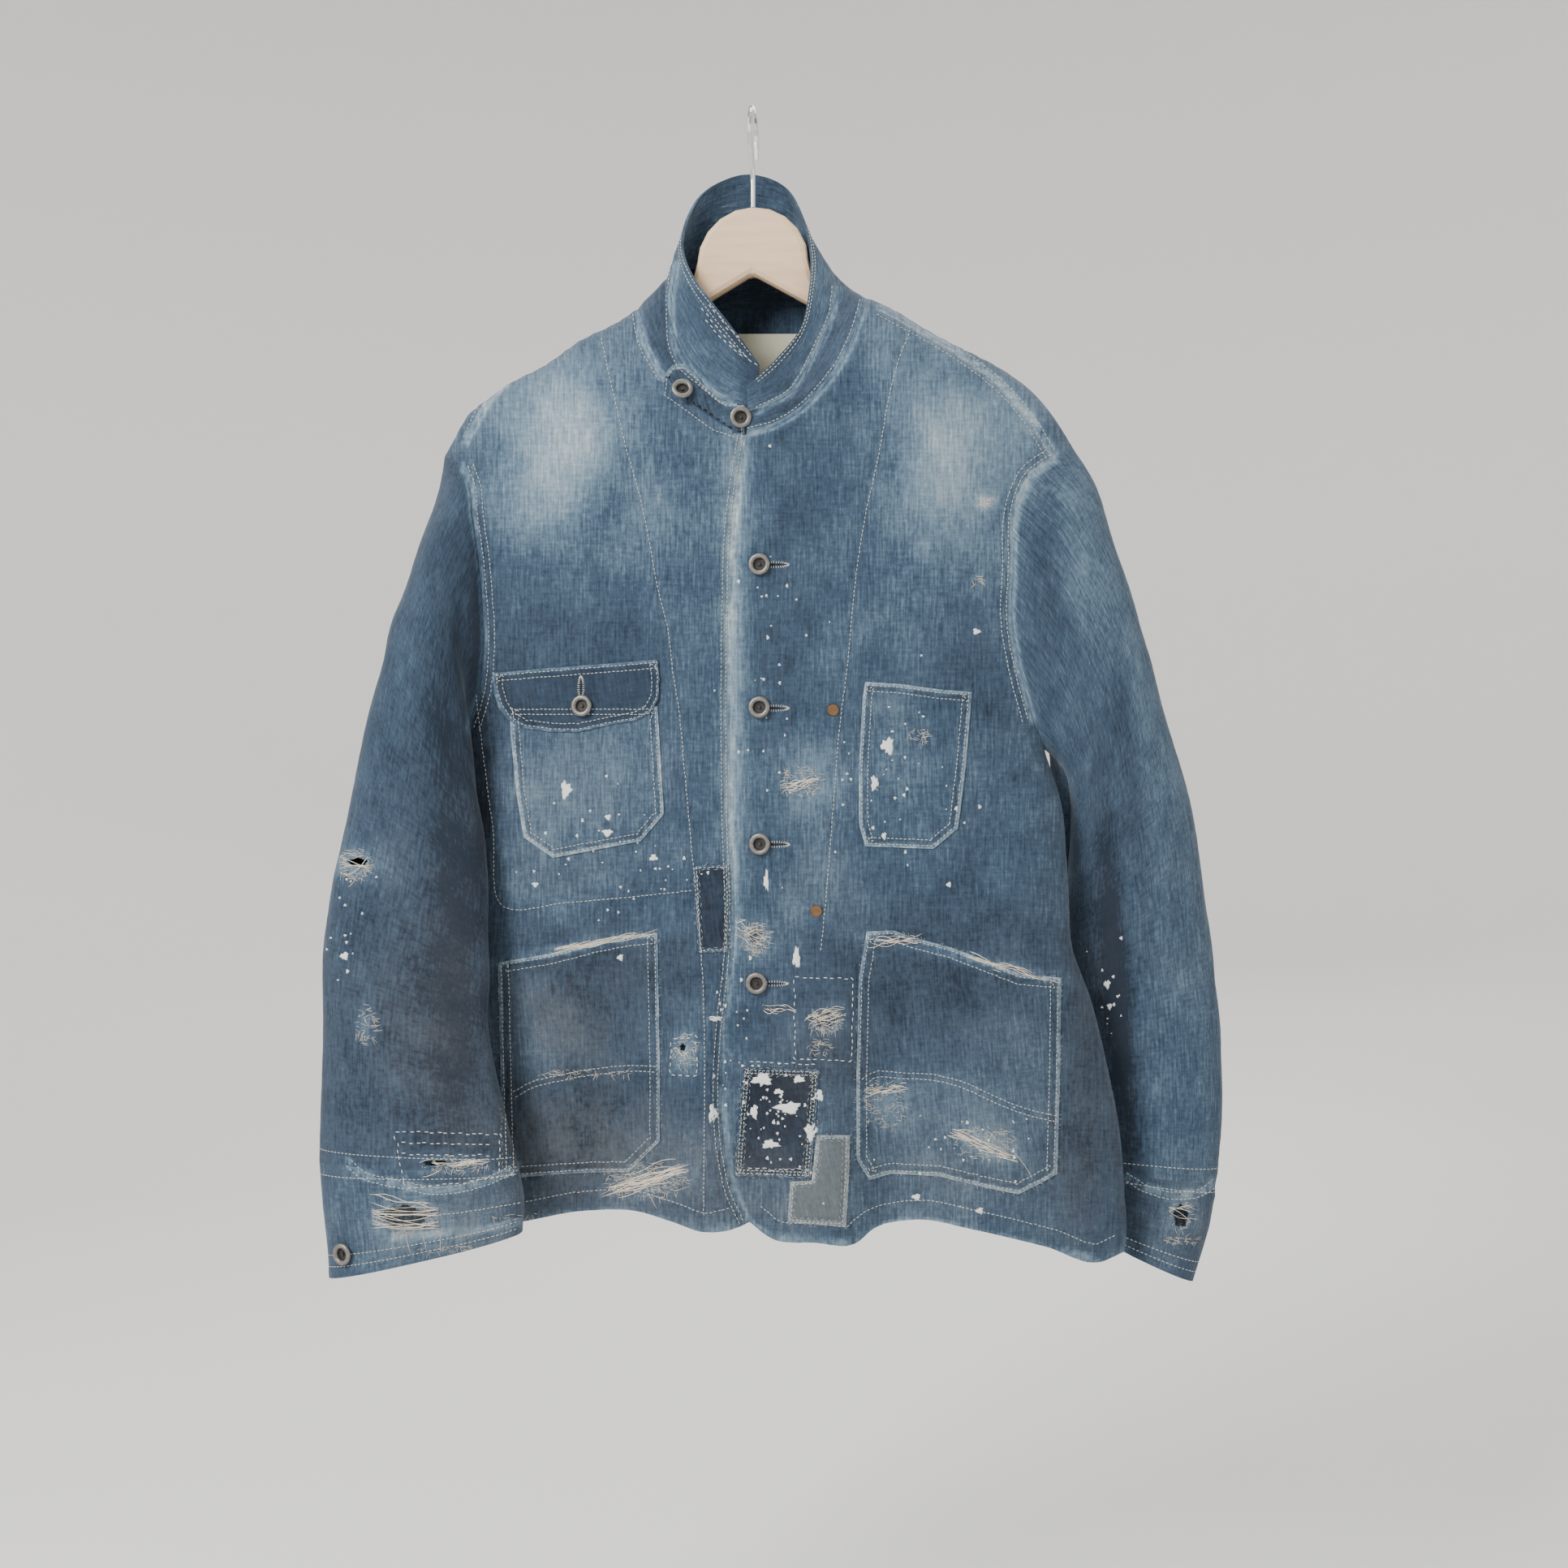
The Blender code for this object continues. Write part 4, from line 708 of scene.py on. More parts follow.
def cut_rip(thing, rip, index, near, far):
    outline = sight_outline(rip, index)
    across, up = outline.T
    count = len(outline)
    ends = np.vstack([placed(across, up, near), placed(across, up, far)])
    faces = [tuple(range(count)), tuple(range(2 * count - 1, count - 1, -1))]
    faces += [(i, (i + 1) % count, count + (i + 1) % count, count + i) for i in range(count)]
    tool = finish_mesh("cutter", ends, faces, smooth=0)
    turn_out(tool)
    cut = thing.modifiers.new("rip", "BOOLEAN")
    cut.operation = "DIFFERENCE"
    cut.solver = "EXACT"
    cut.object = tool
    deps = bpy.context.evaluated_depsgraph_get()
    mesh = bpy.data.meshes.new_from_object(thing.evaluated_get(deps))
    thing.modifiers.clear()
    thing.data = mesh
    bpy.data.objects.remove(tool, do_unlink=True)


class Sight:
    """Outer faces on which sewn and painted things are seated along the eye's lines of sight."""

    def __init__(self, things):
        points, triangles, start = [], [], 0
        for thing in things:
            mesh = thing.data
            mesh.calc_loop_triangles()
            p = np.zeros(len(mesh.vertices) * 3)
            mesh.vertices.foreach_get("co", p)
            t = np.zeros(len(mesh.loop_triangles) * 3, int)
            mesh.loop_triangles.foreach_get("vertices", t)
            points.append(p.reshape(-1, 3))
            triangles.append(t.reshape(-1, 3) + start)
            start += len(mesh.vertices)
        self.points, self.triangles = np.vstack(points), np.vstack(triangles)
        self.tree = BVHTree.FromPolygons(self.points.tolist(), self.triangles.tolist())

    def hit(self, start, way):
        spot, normal, _, _ = self.tree.ray_cast(start, way)
        if spot is None:
            return None
        return spot, (-normal if normal.dot(way) > 0 else normal)

    def seen(self, across, up):
        aim = Vector(placed(across, up, 300.0))
        eye = Vector(EYE)
        return self.hit(eye, (aim - eye).normalized())


def spaced(line, step):
    """Points every step along a smooth or straight polyline."""
    line = np.array(line, float)
    run = np.r_[0.0, np.cumsum(np.linalg.norm(np.diff(line, axis=0), axis=1))]
    at = np.arange(0.5 * step, run[-1], step)
    return np.stack([np.interp(at, run, column) for column in line.T], axis=-1)


def rounded(line):
    """Smooth curve through a polyline's points."""
    at = curve(line)
    return at(np.linspace(0, 1, max(8, 10 * len(line))))


def offset_line(line, shift):
    """Polyline moved sideways by shift, in its own plane."""
    line = np.array(line, float)
    way = np.gradient(line, axis=0)
    way /= np.linalg.norm(way, axis=1, keepdims=True)
    return line + np.stack([-way[:, 1], way[:, 0]], -1) * shift


def overlay(name, base, outline, lift, thickness, step=3.2, round_edge=1.6, roll=0.0, turn=0.0):
    """Piece of cloth laid on a surface inside an outline given in millimetres on the outline plane."""
    outline = np.array(outline, float)
    closed = np.vstack([outline, outline[:1]])
    border = []
    for a, b in zip(closed[:-1], closed[1:]):
        n = max(1, int(np.linalg.norm(b - a) / (0.7 * step)))
        border += [a + (b - a) * k / n for k in range(n)]
    border = np.array(border)
    low, high = border.min(0), border.max(0)
    gx, gy = np.meshgrid(np.arange(low[0], high[0], step), np.arange(low[1], high[1], step))
    gx = gx + (np.arange(gx.shape[0]) % 2)[:, None] * step / 2
    inner = np.stack([gx.ravel(), gy.ravel()], -1)
    gap, _ = near_lines(inner, [closed])
    inner = inner[gap > 0.45 * step]
    rings = []
    for depth in (0.9, 2.2):
        rings.append(shrunk(border, depth))
    pts = np.vstack([border, *rings, inner])
    edges = [(k, (k + 1) % len(border)) for k in range(len(border))]
    verts, _, faces, _, _, _ = delaunay_2d_cdt([Vector(p) for p in pts.tolist()], edges, [], 1, 1e-4)
    flat = np.array([v[:] for v in verts])
    gap, along = near_lines(flat, [closed])
    top, base_points, keep = [], [], {}
    for i, (x, y) in enumerate(flat):
        found = base.seen(x, y)
        if found is None:
            continue
        spot, normal = found
        keep[i] = len(top)
        crown = thickness * (0.35 + 0.65 * (1 - math.exp(-gap[i] / round_edge)))
        crown += roll * MM * math.exp(-((gap[i] - 6.5) / 3.5) ** 2) * (0.5 + 0.5 * math.sin(along[i] / 1.9))
        crown -= 0.25 * MM * math.exp(-((gap[i] - 3.0) / 0.9) ** 2)
        top.append(spot + normal * (lift + max(crown, 0.25 * thickness)))
        base_points.append(spot + normal * lift)
    count = len(top)
    tri = [tuple(keep[k] for k in f) for f in faces if all(k in keep for k in f)]
    directed = {}
    for a, b, c in tri:
        for e in ((a, b), (b, c), (c, a)):
            directed[e] = True
    sides = [(a, a + count, b + count, b) for a, b in directed if (b, a) not in directed]
    all_faces = tri + [tuple(k + count for k in t[::-1]) for t in tri] + sides
    uv = flat[list(keep)] * MM
    uv = uv @ np.array([[math.cos(turn), -math.sin(turn)], [math.sin(turn), math.cos(turn)]])
    thing = finish_mesh(name, np.array([p[:] for p in top + base_points]), all_faces, np.vstack([uv, uv]))
    turn_out(thing)
    return thing


def shrunk(border, depth):
    """Closed outline moved inward by depth."""
    after, before = np.roll(border, -1, 0), np.roll(border, 1, 0)
    way = after - before
    way /= np.maximum(np.linalg.norm(way, axis=1, keepdims=True), 1e-9)
    x, y = border.T
    area = 0.5 * np.sum(x * np.roll(y, -1) - np.roll(x, -1) * y)
    side = np.stack([-way[:, 1], way[:, 0]], -1) * (1 if area > 0 else -1)
    return border + side * depth


class Threads:
    """Many short stitches or threads, gathered into one mesh."""

    def __init__(self, name, slot, material):
        self.name, self.slot, self.material = name, slot, material
        self.vertices, self.faces = [], []

    def tube(self, points, radius, normal=None, flat=0.75, sides=5, taper=1.0):
        start = len(self.vertices)
        points = [Vector(p) for p in points]
        for k, p in enumerate(points):
            way = (points[min(k + 1, len(points) - 1)] - points[max(k - 1, 0)]).normalized()
            up = Vector(normal) if normal is not None else Vector((0, -1, 0.2))
            side = way.cross(up)
            if side.length < 1e-6:
                side = way.cross(Vector((1, 0, 0.1)))
            side.normalize()
            up = side.cross(way)
            end = 0.45 if k in (0, len(points) - 1) else 1.0
            if k == len(points) - 1:
                end *= taper
            for s in range(sides):
                a = 2 * math.pi * s / sides
                self.vertices.append(p + side * (radius * end * math.cos(a)) + up * (radius * flat * end * math.sin(a)))
        for k in range(len(points) - 1):
            for s in range(sides):
                n = (s + 1) % sides
                a, b = start + k * sides, start + (k + 1) * sides
                self.faces.append((a + s, a + n, b + n, b + s))
        last = start + (len(points) - 1) * sides
        self.faces.append(tuple(start + s for s in range(sides))[::-1])
        self.faces.append(tuple(last + s for s in range(sides)))

    def stitches(self, sight, line, pitch=3.5, fill=0.66, radius=0.34, wander=0.12):
        """Stitches along a line of the outline plane, seated on what the eye sees there."""
        line = np.array(line, float)
        at = spaced(line, pitch)
        if len(at) == 0:
            return
        way = np.gradient(at, axis=0) if len(at) > 1 else line[-1:] - line[:1]
        way /= np.linalg.norm(way, axis=1, keepdims=True)
        for spot, direction in zip(at, way):
            spot = spot + RANDOM.normal(0, wander, 2)
            ends = []
            for t in (-0.5, -0.2, 0.2, 0.5):
                x, y = spot + direction * t * pitch * fill
                found = sight.seen(x, y)
                if found is None:
                    break
                ends.append((found, abs(t)))
            if len(ends) < 4:
                continue
            normal = ends[1][0][1]
            points = [f[0] + f[1] * (radius * MM * (0.45 if far > 0.3 else 0.95)) for f, far in ends]
            if max((points[k + 1] - points[k]).length for k in range(3)) > 3 * pitch * MM:
                continue
            self.tube(points, radius * MM, normal)

    def seam(self, points, normals, pitch=3.5, fill=0.66, radius=0.34):
        """Stitches along a line of world points that lie on the cloth."""
        points, normals = np.asarray(points, float), np.asarray(normals, float)
        run = np.r_[0.0, np.cumsum(np.linalg.norm(np.diff(points, axis=0), axis=1))] / MM
        for start in np.arange(0.5 * pitch, run[-1] - pitch, pitch):
            at = start + pitch * fill * np.array([0.0, 0.3, 0.7, 1.0])
            spot = np.stack([np.interp(at, run, c) for c in points.T], -1)
            out = np.stack([np.interp(at, run, c) for c in normals.T], -1)
            rise = np.array([0.45, 0.95, 0.95, 0.45])[:, None] * radius * MM
            self.tube(spot + out * rise, radius * MM, out[1])

    def fray(self, sight, spot, way, length, radius=0.16, curl=1.0, lift=0.4):
        """A loose thread that starts at a spot and runs off along way, on the outline plane."""
        points = []
        bend = RANDOM.normal(0, 0.9 * curl)
        swing = RANDOM.normal(0, 0.35 * curl)
        x, y = spot
        angle = math.atan2(way[1], way[0]) + swing
        found = None
        for k in range(6):
            found = sight.seen(x, y) or found
            if found is None:
                return
            rise = lift * (0.3 + k / 5.0 * abs(bend))
            points.append(found[0] + found[1] * (rise * MM))
            angle += bend / 6
            x += math.cos(angle) * length / 5
            y += math.sin(angle) * length / 5
        if max((points[k + 1] - points[k]).length for k in range(5)) < 0.012:
            self.tube(points, radius * MM, None, 0.9, 3, 0.3)

    def done(self):
        thing = finish_mesh(self.name, np.array([v[:] for v in self.vertices]), self.faces, smooth=0)
        thing.data.materials.append(self.material)
        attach(thing, "root")
        return thing


def node_maker(made):
    nodes, links = made.node_tree.nodes, made.node_tree.links

    def add(kind, inputs=(), **settings):
        node = nodes.new("ShaderNode" + kind)
        for key, value in settings.items():
            setattr(node, key, value)
        for place, value in dict(inputs).items():
            if isinstance(value, bpy.types.NodeSocket):
                links.new(value, node.inputs[place])
            else:
                node.inputs[place].default_value = value
        return node

    return nodes["Principled BSDF"], links, add


def denim(name, ramp, level, brown=(0.125, 0.120, 0.110)):
    """Indigo twill: streaky yarns, worn zones and painted shade, whitened seams and dirt, all worked out."""
    made = bpy.data.materials.new(name)
    made.use_nodes = True
    shader, links, add = node_maker(made)
    cloth = add("UVMap", uv_map="cloth").outputs["UV"]

    def noise(scale, detail=3.0, rough=0.6):
        place = add("Mapping", {"Vector": cloth, "Scale": (*scale, 1.0)}).outputs["Vector"]
        return add("TexNoise", {"Vector": place, "Scale": 1.0, "Detail": detail, "Roughness": rough}).outputs["Fac"]

    def total(terms, start):
        value = start
        for source, gain, middle in terms:
            part = add("Math", {0: source, 1: gain, 2: -gain * middle}, operation="MULTIPLY_ADD").outputs[0]
            value = add("Math", {0: value, 1: part}, operation="ADD").outputs[0]
        return value

    streak = noise((620, 46))
    weft = noise((52, 480), 2.0)
    mottle = noise((300, 230), 4.0, 0.7)
    cloud = noise((26, 20), 3.0)
    # fade: paleness from wear, and painted shade where it is negative.
    fade = add("Attribute", attribute_name="fade").outputs["Fac"]
    edge = add("Attribute", attribute_name="edge").outputs["Fac"]
    dirt = add("Attribute", attribute_name="dirt").outputs["Fac"]
    rope = noise((210, 210), 2.0, 0.5)
    rope = add("Math", {0: rope, 1: edge}, operation="MULTIPLY").outputs[0]
    tone = total([(fade, 1.0, 0.0), (streak, 0.62, 0.5), (weft, 0.20, 0.5),
                  (mottle, 0.46, 0.5), (cloud, 0.42, 0.5), (rope, 0.95, 0.22)], level)
    colours = add("ValToRGB", {"Fac": tone})
    band = colours.color_ramp
    band.elements[0].position, band.elements[0].color = ramp[0][0], (*ramp[0][1], 1)
    band.elements[1].position, band.elements[1].color = ramp[-1][0], (*ramp[-1][1], 1)
    for place, colour in ramp[1:-1]:
        band.elements.new(place).color = (*colour, 1)
    soil = total([(cloud, 1.4, 0.5), (mottle, 1.2, 0.5)], 0.5)
    soil = add("Math", {0: soil, 1: dirt}, operation="MULTIPLY", use_clamp=True).outputs[0]
    soil = add("Math", {0: soil, 1: 0.5}, operation="MULTIPLY").outputs[0]
    mixed = add("Mix", {0: soil, 6: colours.outputs["Color"], 7: (*brown, 1)}, data_type="RGBA").outputs[2]
    links.new(mixed, shader.inputs["Base Color"])
    height = total([(streak, 0.5, 0.0), (weft, 0.4, 0.0), (mottle, 0.9, 0.0)], 0.0)
    bump = add("Bump", {"Strength": 0.5, "Distance": 0.0007, "Height": height})
    links.new(bump.outputs["Normal"], shader.inputs["Normal"])
    shader.inputs["Roughness"].default_value = 0.93
    shader.inputs["Specular IOR Level"].default_value = 0.18
    shader.inputs["Sheen Weight"].default_value = 0.12
    return made


def plain(name, colour, roughness=0.8, metallic=0.0, spread=0.25, scale=(90, 90, 90)):
    """Simple finish with a little unevenness."""
    made = bpy.data.materials.new(name)
    made.use_nodes = True
    shader, links, add = node_maker(made)
    where = add("TexCoord").outputs["Object"]
    place = add("Mapping", {"Vector": where, "Scale": scale}).outputs["Vector"]
    grain = add("TexNoise", {"Vector": place, "Scale": 1.0, "Detail": 4.0}).outputs["Fac"]
    low = tuple(c * (1 - spread) for c in colour)
    high = tuple(min(1.0, c * (1 + spread)) for c in colour)
    mixed = add("Mix", {0: grain, 6: (*low, 1), 7: (*high, 1)}, data_type="RGBA").outputs[2]
    links.new(mixed, shader.inputs["Base Color"])
    shader.inputs["Roughness"].default_value = roughness
    shader.inputs["Metallic"].default_value = metallic
    bump = add("Bump", {"Strength": 0.25, "Distance": 0.0004, "Height": grain})
    links.new(bump.outputs["Normal"], shader.inputs["Normal"])
    return made


INDIGO = [(0.0, (0.010, 0.018, 0.032)), (0.28, (0.035, 0.062, 0.100)), (0.5, (0.095, 0.150, 0.205)),
          (0.72, (0.215, 0.280, 0.325)), (1.0, (0.50, 0.55, 0.55))]
DEEP_INDIGO = [(0.0, (0.008, 0.013, 0.024)), (0.35, (0.022, 0.042, 0.074)), (0.6, (0.062, 0.105, 0.160)),
               (1.0, (0.36, 0.42, 0.46))]
GREY_BLUE = [(0.0, (0.04, 0.055, 0.06)), (0.4, (0.100, 0.120, 0.138)), (0.65, (0.180, 0.205, 0.228)),
             (1.0, (0.48, 0.50, 0.48))]

# Holes, worn spots and mends, in the photo's pixels: centre, half sizes, number of loose threads
WORN = [(436, 1064, 20, 20, 130), (450, 1262, 13, 26, 60), (500, 1500, 36, 20, 150), (560, 1434, 42, 10, 110),
        (1214, 618, 9, 7, 26), (1204, 714, 7, 5, 14), (930, 1156, 19, 21, 120), (1018, 1258, 20, 16, 120),
        (843, 1296, 15, 24, 70), (795, 1455, 52, 22, 260), (1088, 1360, 26, 32, 110), (1212, 1408, 40, 22, 130),
        (985, 962, 26, 22, 90), (1133, 905, 14, 10, 30), (1455, 1497, 14, 18, 60), (1455, 1528, 22, 5, 40),
        (720, 1322, 60, 5, 60), (560, 1540, 50, 5, 40), (660, 1500, 60, 5, 40), (1010, 1290, 14, 12, 40)]
PAINT = [(698, 973, 9, 14), (749, 1026, 8, 6), (750, 1007, 5, 5), (806, 1057, 7, 5), (1095, 919, 10, 14),
         (1078, 965, 6, 12), (945, 1085, 4, 16), (982, 1180, 6, 17), (1204, 778, 6, 5), (425, 1178, 7, 6),
         (1365, 1213, 5, 7), (1368, 1240, 4, 5), (1130, 1475, 7, 5), (1208, 1492, 6, 5), (882, 1255, 12, 4),
         (879, 1372, 7, 14), (940, 1330, 16, 10), (972, 1365, 20, 9), (1000, 1395, 10, 14), (950, 1410, 14, 7),
         (930, 1370, 6, 12), (985, 1330, 9, 6), (1010, 1350, 7, 9), (960, 1345, 8, 4), (765, 1180, 5, 5),
         (660, 1090, 5, 4), (1090, 1030, 4, 6), (1170, 1090, 4, 4)]
RUNNING = [
    [(979, 1204), (1052, 1206), (1050, 1307), (980, 1305), (979, 1204)],
    [(486, 1394), (617, 1398), (615, 1452), (500, 1464), (486, 1394)],
    [(494, 1408), (606, 1410)], [(494, 1422), (606, 1424)],
    [(864, 378), (884, 404), (908, 430), (932, 450)], [(872, 374), (892, 398), (914, 420)],
    [(868, 392), (890, 416), (916, 440)],
    [(922, 1308), (1004, 1312)], [(922, 1440), (1000, 1442)],
    [(828, 1280), (858, 1278), (860, 1326), (826, 1324), (828, 1280)],
]
MID_RIGHT = [(632, 1346), (654, 1334), (694, 1324), (734, 1317), (774, 1313), (811, 1314)]
MID_LEFT = [(1062, 1331), (1075, 1322), (1113, 1322), (1157, 1325), (1187, 1333), (1216, 1346), (1245, 1359),
            (1275, 1369), (1302, 1375)]
# Threads left across the holes: hole centre, half length, how many, spread up and down
BRIDGES = [(436, 1062, 15, 5, 6), (500, 1499, 36, 15, 13), (560, 1434, 24, 7, 4), (1018, 1258, 15, 7, 9),
           (930, 1154, 10, 6, 8), (1455, 1497, 12, 5, 13)]
# Bundles of bared yarn on the cloth: centre, half length, slope, how many, spread
BUNDLES = [(795, 1455, 50, -0.30, 34, 12), (1212, 1410, 40, 0.42, 30, 9), (1092, 1342, 26, -0.1, 16, 6),
           (560, 1434, 42, -0.16, 18, 6), (500, 1494, 40, 0.2, 16, 22), (1018, 1252, 26, -0.2, 16, 10),
           (930, 1152, 22, 0.3, 14, 12), (436, 1056, 20, -0.1, 14, 8), (1100, 1160, 34, -0.1, 16, 6),
           (985, 968, 26, -0.3, 12, 8), (745, 1160, 60, -0.18, 20, 3), (1250, 1195, 55, 0.3, 16, 3),
           (960, 1244, 22, 0.1, 8, 5), (843, 1296, 12, 0.4, 10, 14)]
BUTTONHOLES = [((944, 695), (967, 696)), ((944, 872), (967, 873)), ((945, 1040), (968, 1041)),
               ((941, 1212), (966, 1212)), ((716, 838), (717, 856))]


def bridge_depth(sight, cx, cy, half):
    """Depth, in millimetres, of the cloth beside a hole, so that threads span it just in front."""
    depths = []
    for dx in (-1.25, 1.25):
        found = sight.seen(*from_pixels([(cx + dx * half, cy)])[0])
        if found is not None:
            depths.append(found[0].y / MM)
    return min(depths) - 0.5


def dress(thing, node, material):
    """Material slot and body of one piece, with the part's own node hidden."""
    thing.data.materials.clear()
    thing.data.materials.append(material)
    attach(thing, "root")
    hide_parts(node)


def lathe(profile, sides):
    """Closed surface of revolution about Z."""
    verts, faces, rings = [], [], []
    for radius, height in profile:
        if radius == 0:
            rings.append([len(verts)])
            verts.append((0, 0, height))
            continue
        rings.append(list(range(len(verts), len(verts) + sides)))
        verts += [(radius * math.cos(2 * math.pi * k / sides), radius * math.sin(2 * math.pi * k / sides), height)
                  for k in range(sides)]
    for low, high in zip(rings, rings[1:]):
        for k in range(sides):
            n = (k + 1) % sides
            if len(low) == 1:
                faces.append((low[0], high[n], high[k]))
            elif len(high) == 1:
                faces.append((low[k], low[n], high[0]))
            else:
                faces.append((low[k], low[n], high[n], high[k]))
    return verts, faces


def seat(name, form, found, clearance, node, material, hollow_shade=None):
    spot, normal = found
    thing = finish_mesh(name, np.array(form[0], float), form[1], smooth=45)
    turn = normal.to_track_quat("Z", "Y").to_matrix().to_4x4()
    thing.matrix_world = Matrix.Translation(spot + normal * clearance) @ turn
    thing.data.materials.append(material)
    # The faces of the centre hole take the second, near-black material: painted shade in the button's recess.
    if hollow_shade is not None:
        thing.data.materials.append(hollow_shade)
        for face in thing.data.polygons:
            face.material_index = int(math.hypot(face.center.x, face.center.y) < 0.50 * BUTTON_RADIUS)
    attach(thing, "root")
    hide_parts(node)
    return thing


def blots(name, sight, spots, material, lift=0.35):
    """Thin ragged drops that lie on the cloth."""
    verts, faces = [], []
    for cx, cy, rx, ry in spots:
        phase = RANDOM.uniform(0, 6)
        count = 18
        centre = from_pixels([(cx, cy)])[0]
        middle = sight.seen(*centre)
        if middle is None:
            continue
        ring = []
        for k in range(count):
            a = 2 * math.pi * k / count
            r = 0.75 + 0.16 * math.sin(3 * a + phase) + 0.12 * math.sin(7 * a + 2 * phase) + RANDOM.normal(0, 0.05)
            x, y = centre + np.array([rx * r * math.cos(a), ry * r * math.sin(a)]) * PIXEL_MM
            found = sight.seen(x, y)
            if found is None or (found[0] - middle[0]).length > 0.03:
                ring = []
                break
            ring.append(found)
        if not ring:
            continue
        start = len(verts)
        verts += [f[0] + f[1] * (0.05 * MM) for f in ring]
        verts += [f[0] * 0.8 + middle[0] * 0.2 + f[1] * (lift * MM) for f in ring]
        verts += [middle[0] + middle[1] * (1.15 * lift * MM), middle[0] + middle[1] * (0.02 * MM)]
        for k in range(count):
            n = (k + 1) % count
            faces += [(start + k, start + n, start + count + n, start + count + k),
                      (start + count + k, start + count + n, start + 2 * count),
                      (start + n, start + k, start + 2 * count + 1)]
    thing = finish_mesh(name, np.array([v[:] for v in verts]), faces, smooth=0)
    thing.data.materials.append(material)
    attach(thing, "root")
    return thing


def main():
    panels, uv = body_panels()
    indigo = denim("worn_indigo", INDIGO, 0.47)
    deep = denim("deep_indigo", DEEP_INDIGO, 0.46)
    navy = denim("navy_mend", DEEP_INDIGO, 0.27)
    grey = denim("grey_blue", GREY_BLUE, 0.50)
    things = {}
    for name, panel in panels.items():
        relief = soft_wrinkles(panel.points) + puckers(panel.points, panel.normals)
        things[name] = wall(name + "_cloth", panel, uv[name], relief)
    tones = {"sleeve_right_front": -0.09, "sleeve_right_back": -0.07, "cuff_right_front": 0.0,
             "sleeve_left_front": 0.02, "collar_stand": -0.10, "collar_leaf": 0.0}

    whole = {name: Sight([things[name]]) for name in ("front_left", "front_right", "collar_stand",
                                                      "cuff_right_front", "cuff_left_back")}
    over = SEAM_GAP + POCKET_CLOTH
    sewn = [("pocket_flap_chest", "front_right", FLAP_POCKET, SEAM_GAP, POCKET_CLOTH, indigo, "pocket_denim", 0.05),
            ("pocket_chest", "front_left", CHEST_POCKET, SEAM_GAP, POCKET_CLOTH, indigo, "pocket_denim", 0.04),
            ("pocket_hip_right", "front_right", RIGHT_HIP_POCKET, SEAM_GAP, POCKET_CLOTH, indigo, "pocket_denim", 0.0),
            ("pocket_hip_left", "front_left", LEFT_HIP_POCKET, SEAM_GAP, POCKET_CLOTH, indigo, "pocket_denim", 0.03),
            ("flap_chest", "front_right", FLAP, over + SEAM_GAP, POCKET_CLOTH + SEAM_GAP, deep, "flap_denim", 0.0),
            ("patch_edge", "front_right", EDGE_PATCH, SEAM_GAP, PATCH_CLOTH, navy, "patch_denim", 0.05),
            ("patch_dark", "front_left", DARK_PATCH, SEAM_GAP, PATCH_CLOTH, navy, "patch_denim", 0.0),
            ("patch_corner", "front_left", CORNER_PATCH, SEAM_GAP, PATCH_CLOTH, grey, "patch_denim", 0.0),
            ("patch_backing", "front_left", BACKING_PATCH, -CLOTH - SEAM_GAP - PATCH_CLOTH, PATCH_CLOTH, deep,
             "patch_denim", 0.0),
            ("neck_strap", "collar_stand", STRAP, SEAM_GAP, STRAP_CLOTH, indigo, "collar_denim", -0.12)]
    laid = {}
    for index, (name, base, outline, lift, thick, material, slot, tone) in enumerate(sewn):
        roll = 0.45 if "pocket" in name or "flap" in name else 0.25
        piece = overlay(name + "_cloth", whole[base], outline, lift, thick, roll=roll, turn=0.03 * index)
        laid[name] = piece
        add_wear_and_painted_shade(piece, tone, np.array(outline, float))
        dress(piece, name, material)

    depths = {"front_left": (-160, 0), "front_right": (-160, 0), "sleeve_right_front": (-160, -38),
              "cuff_right_front": (-160, -60), "cuff_left_front": (-160, 4)}
    for name, rips in RIPS.items():
        for index, rip in enumerate(rips):
            cut_rip(things[name], rip, index, *depths[name])

    for name, panel in panels.items():
        add_wear_and_painted_shade(things[name], tones.get(name, 0.0))
        dress(things[name], name, indigo)

    across, up = np.meshgrid(np.linspace(-12, 37, 20), np.linspace(-191, -240, 20))
    depth = back_depth(across, up) - (CLOTH / MM + 1.7) + 0.5 * np.sin(across / 9.0) * np.cos(up / 13.0)
    panel = Panel(placed(across, up, depth), True, 0.6 * MM)
    share_normals([panel])
    label = wall("neck_label_cloth", panel, np.stack([across, up], -1) * MM)
    dress(label, "neck_label", plain("woven_label", (0.60, 0.59, 0.45), 0.85, spread=0.12,
                                                    scale=(900, 900, 900)))

    everything = Sight([*things.values(), *laid.values()])
    ecru = plain("ecru_thread", (0.46, 0.46, 0.42), 0.9, spread=0.4, scale=(400, 400, 400))
    white = plain("white_thread", (0.70, 0.70, 0.66), 0.9, spread=0.2, scale=(400, 400, 400))
    cream = plain("cream_thread", (0.64, 0.57, 0.47), 0.9, spread=0.3, scale=(400, 400, 400))
    faded = plain("faded_thread", (0.30, 0.36, 0.40), 0.9, spread=0.3, scale=(400, 400, 400))
    # Near-black for the buttonhole openings: painted shade.
    dark = plain("buttonhole_painted_shade", (0.008, 0.010, 0.016), 0.95)

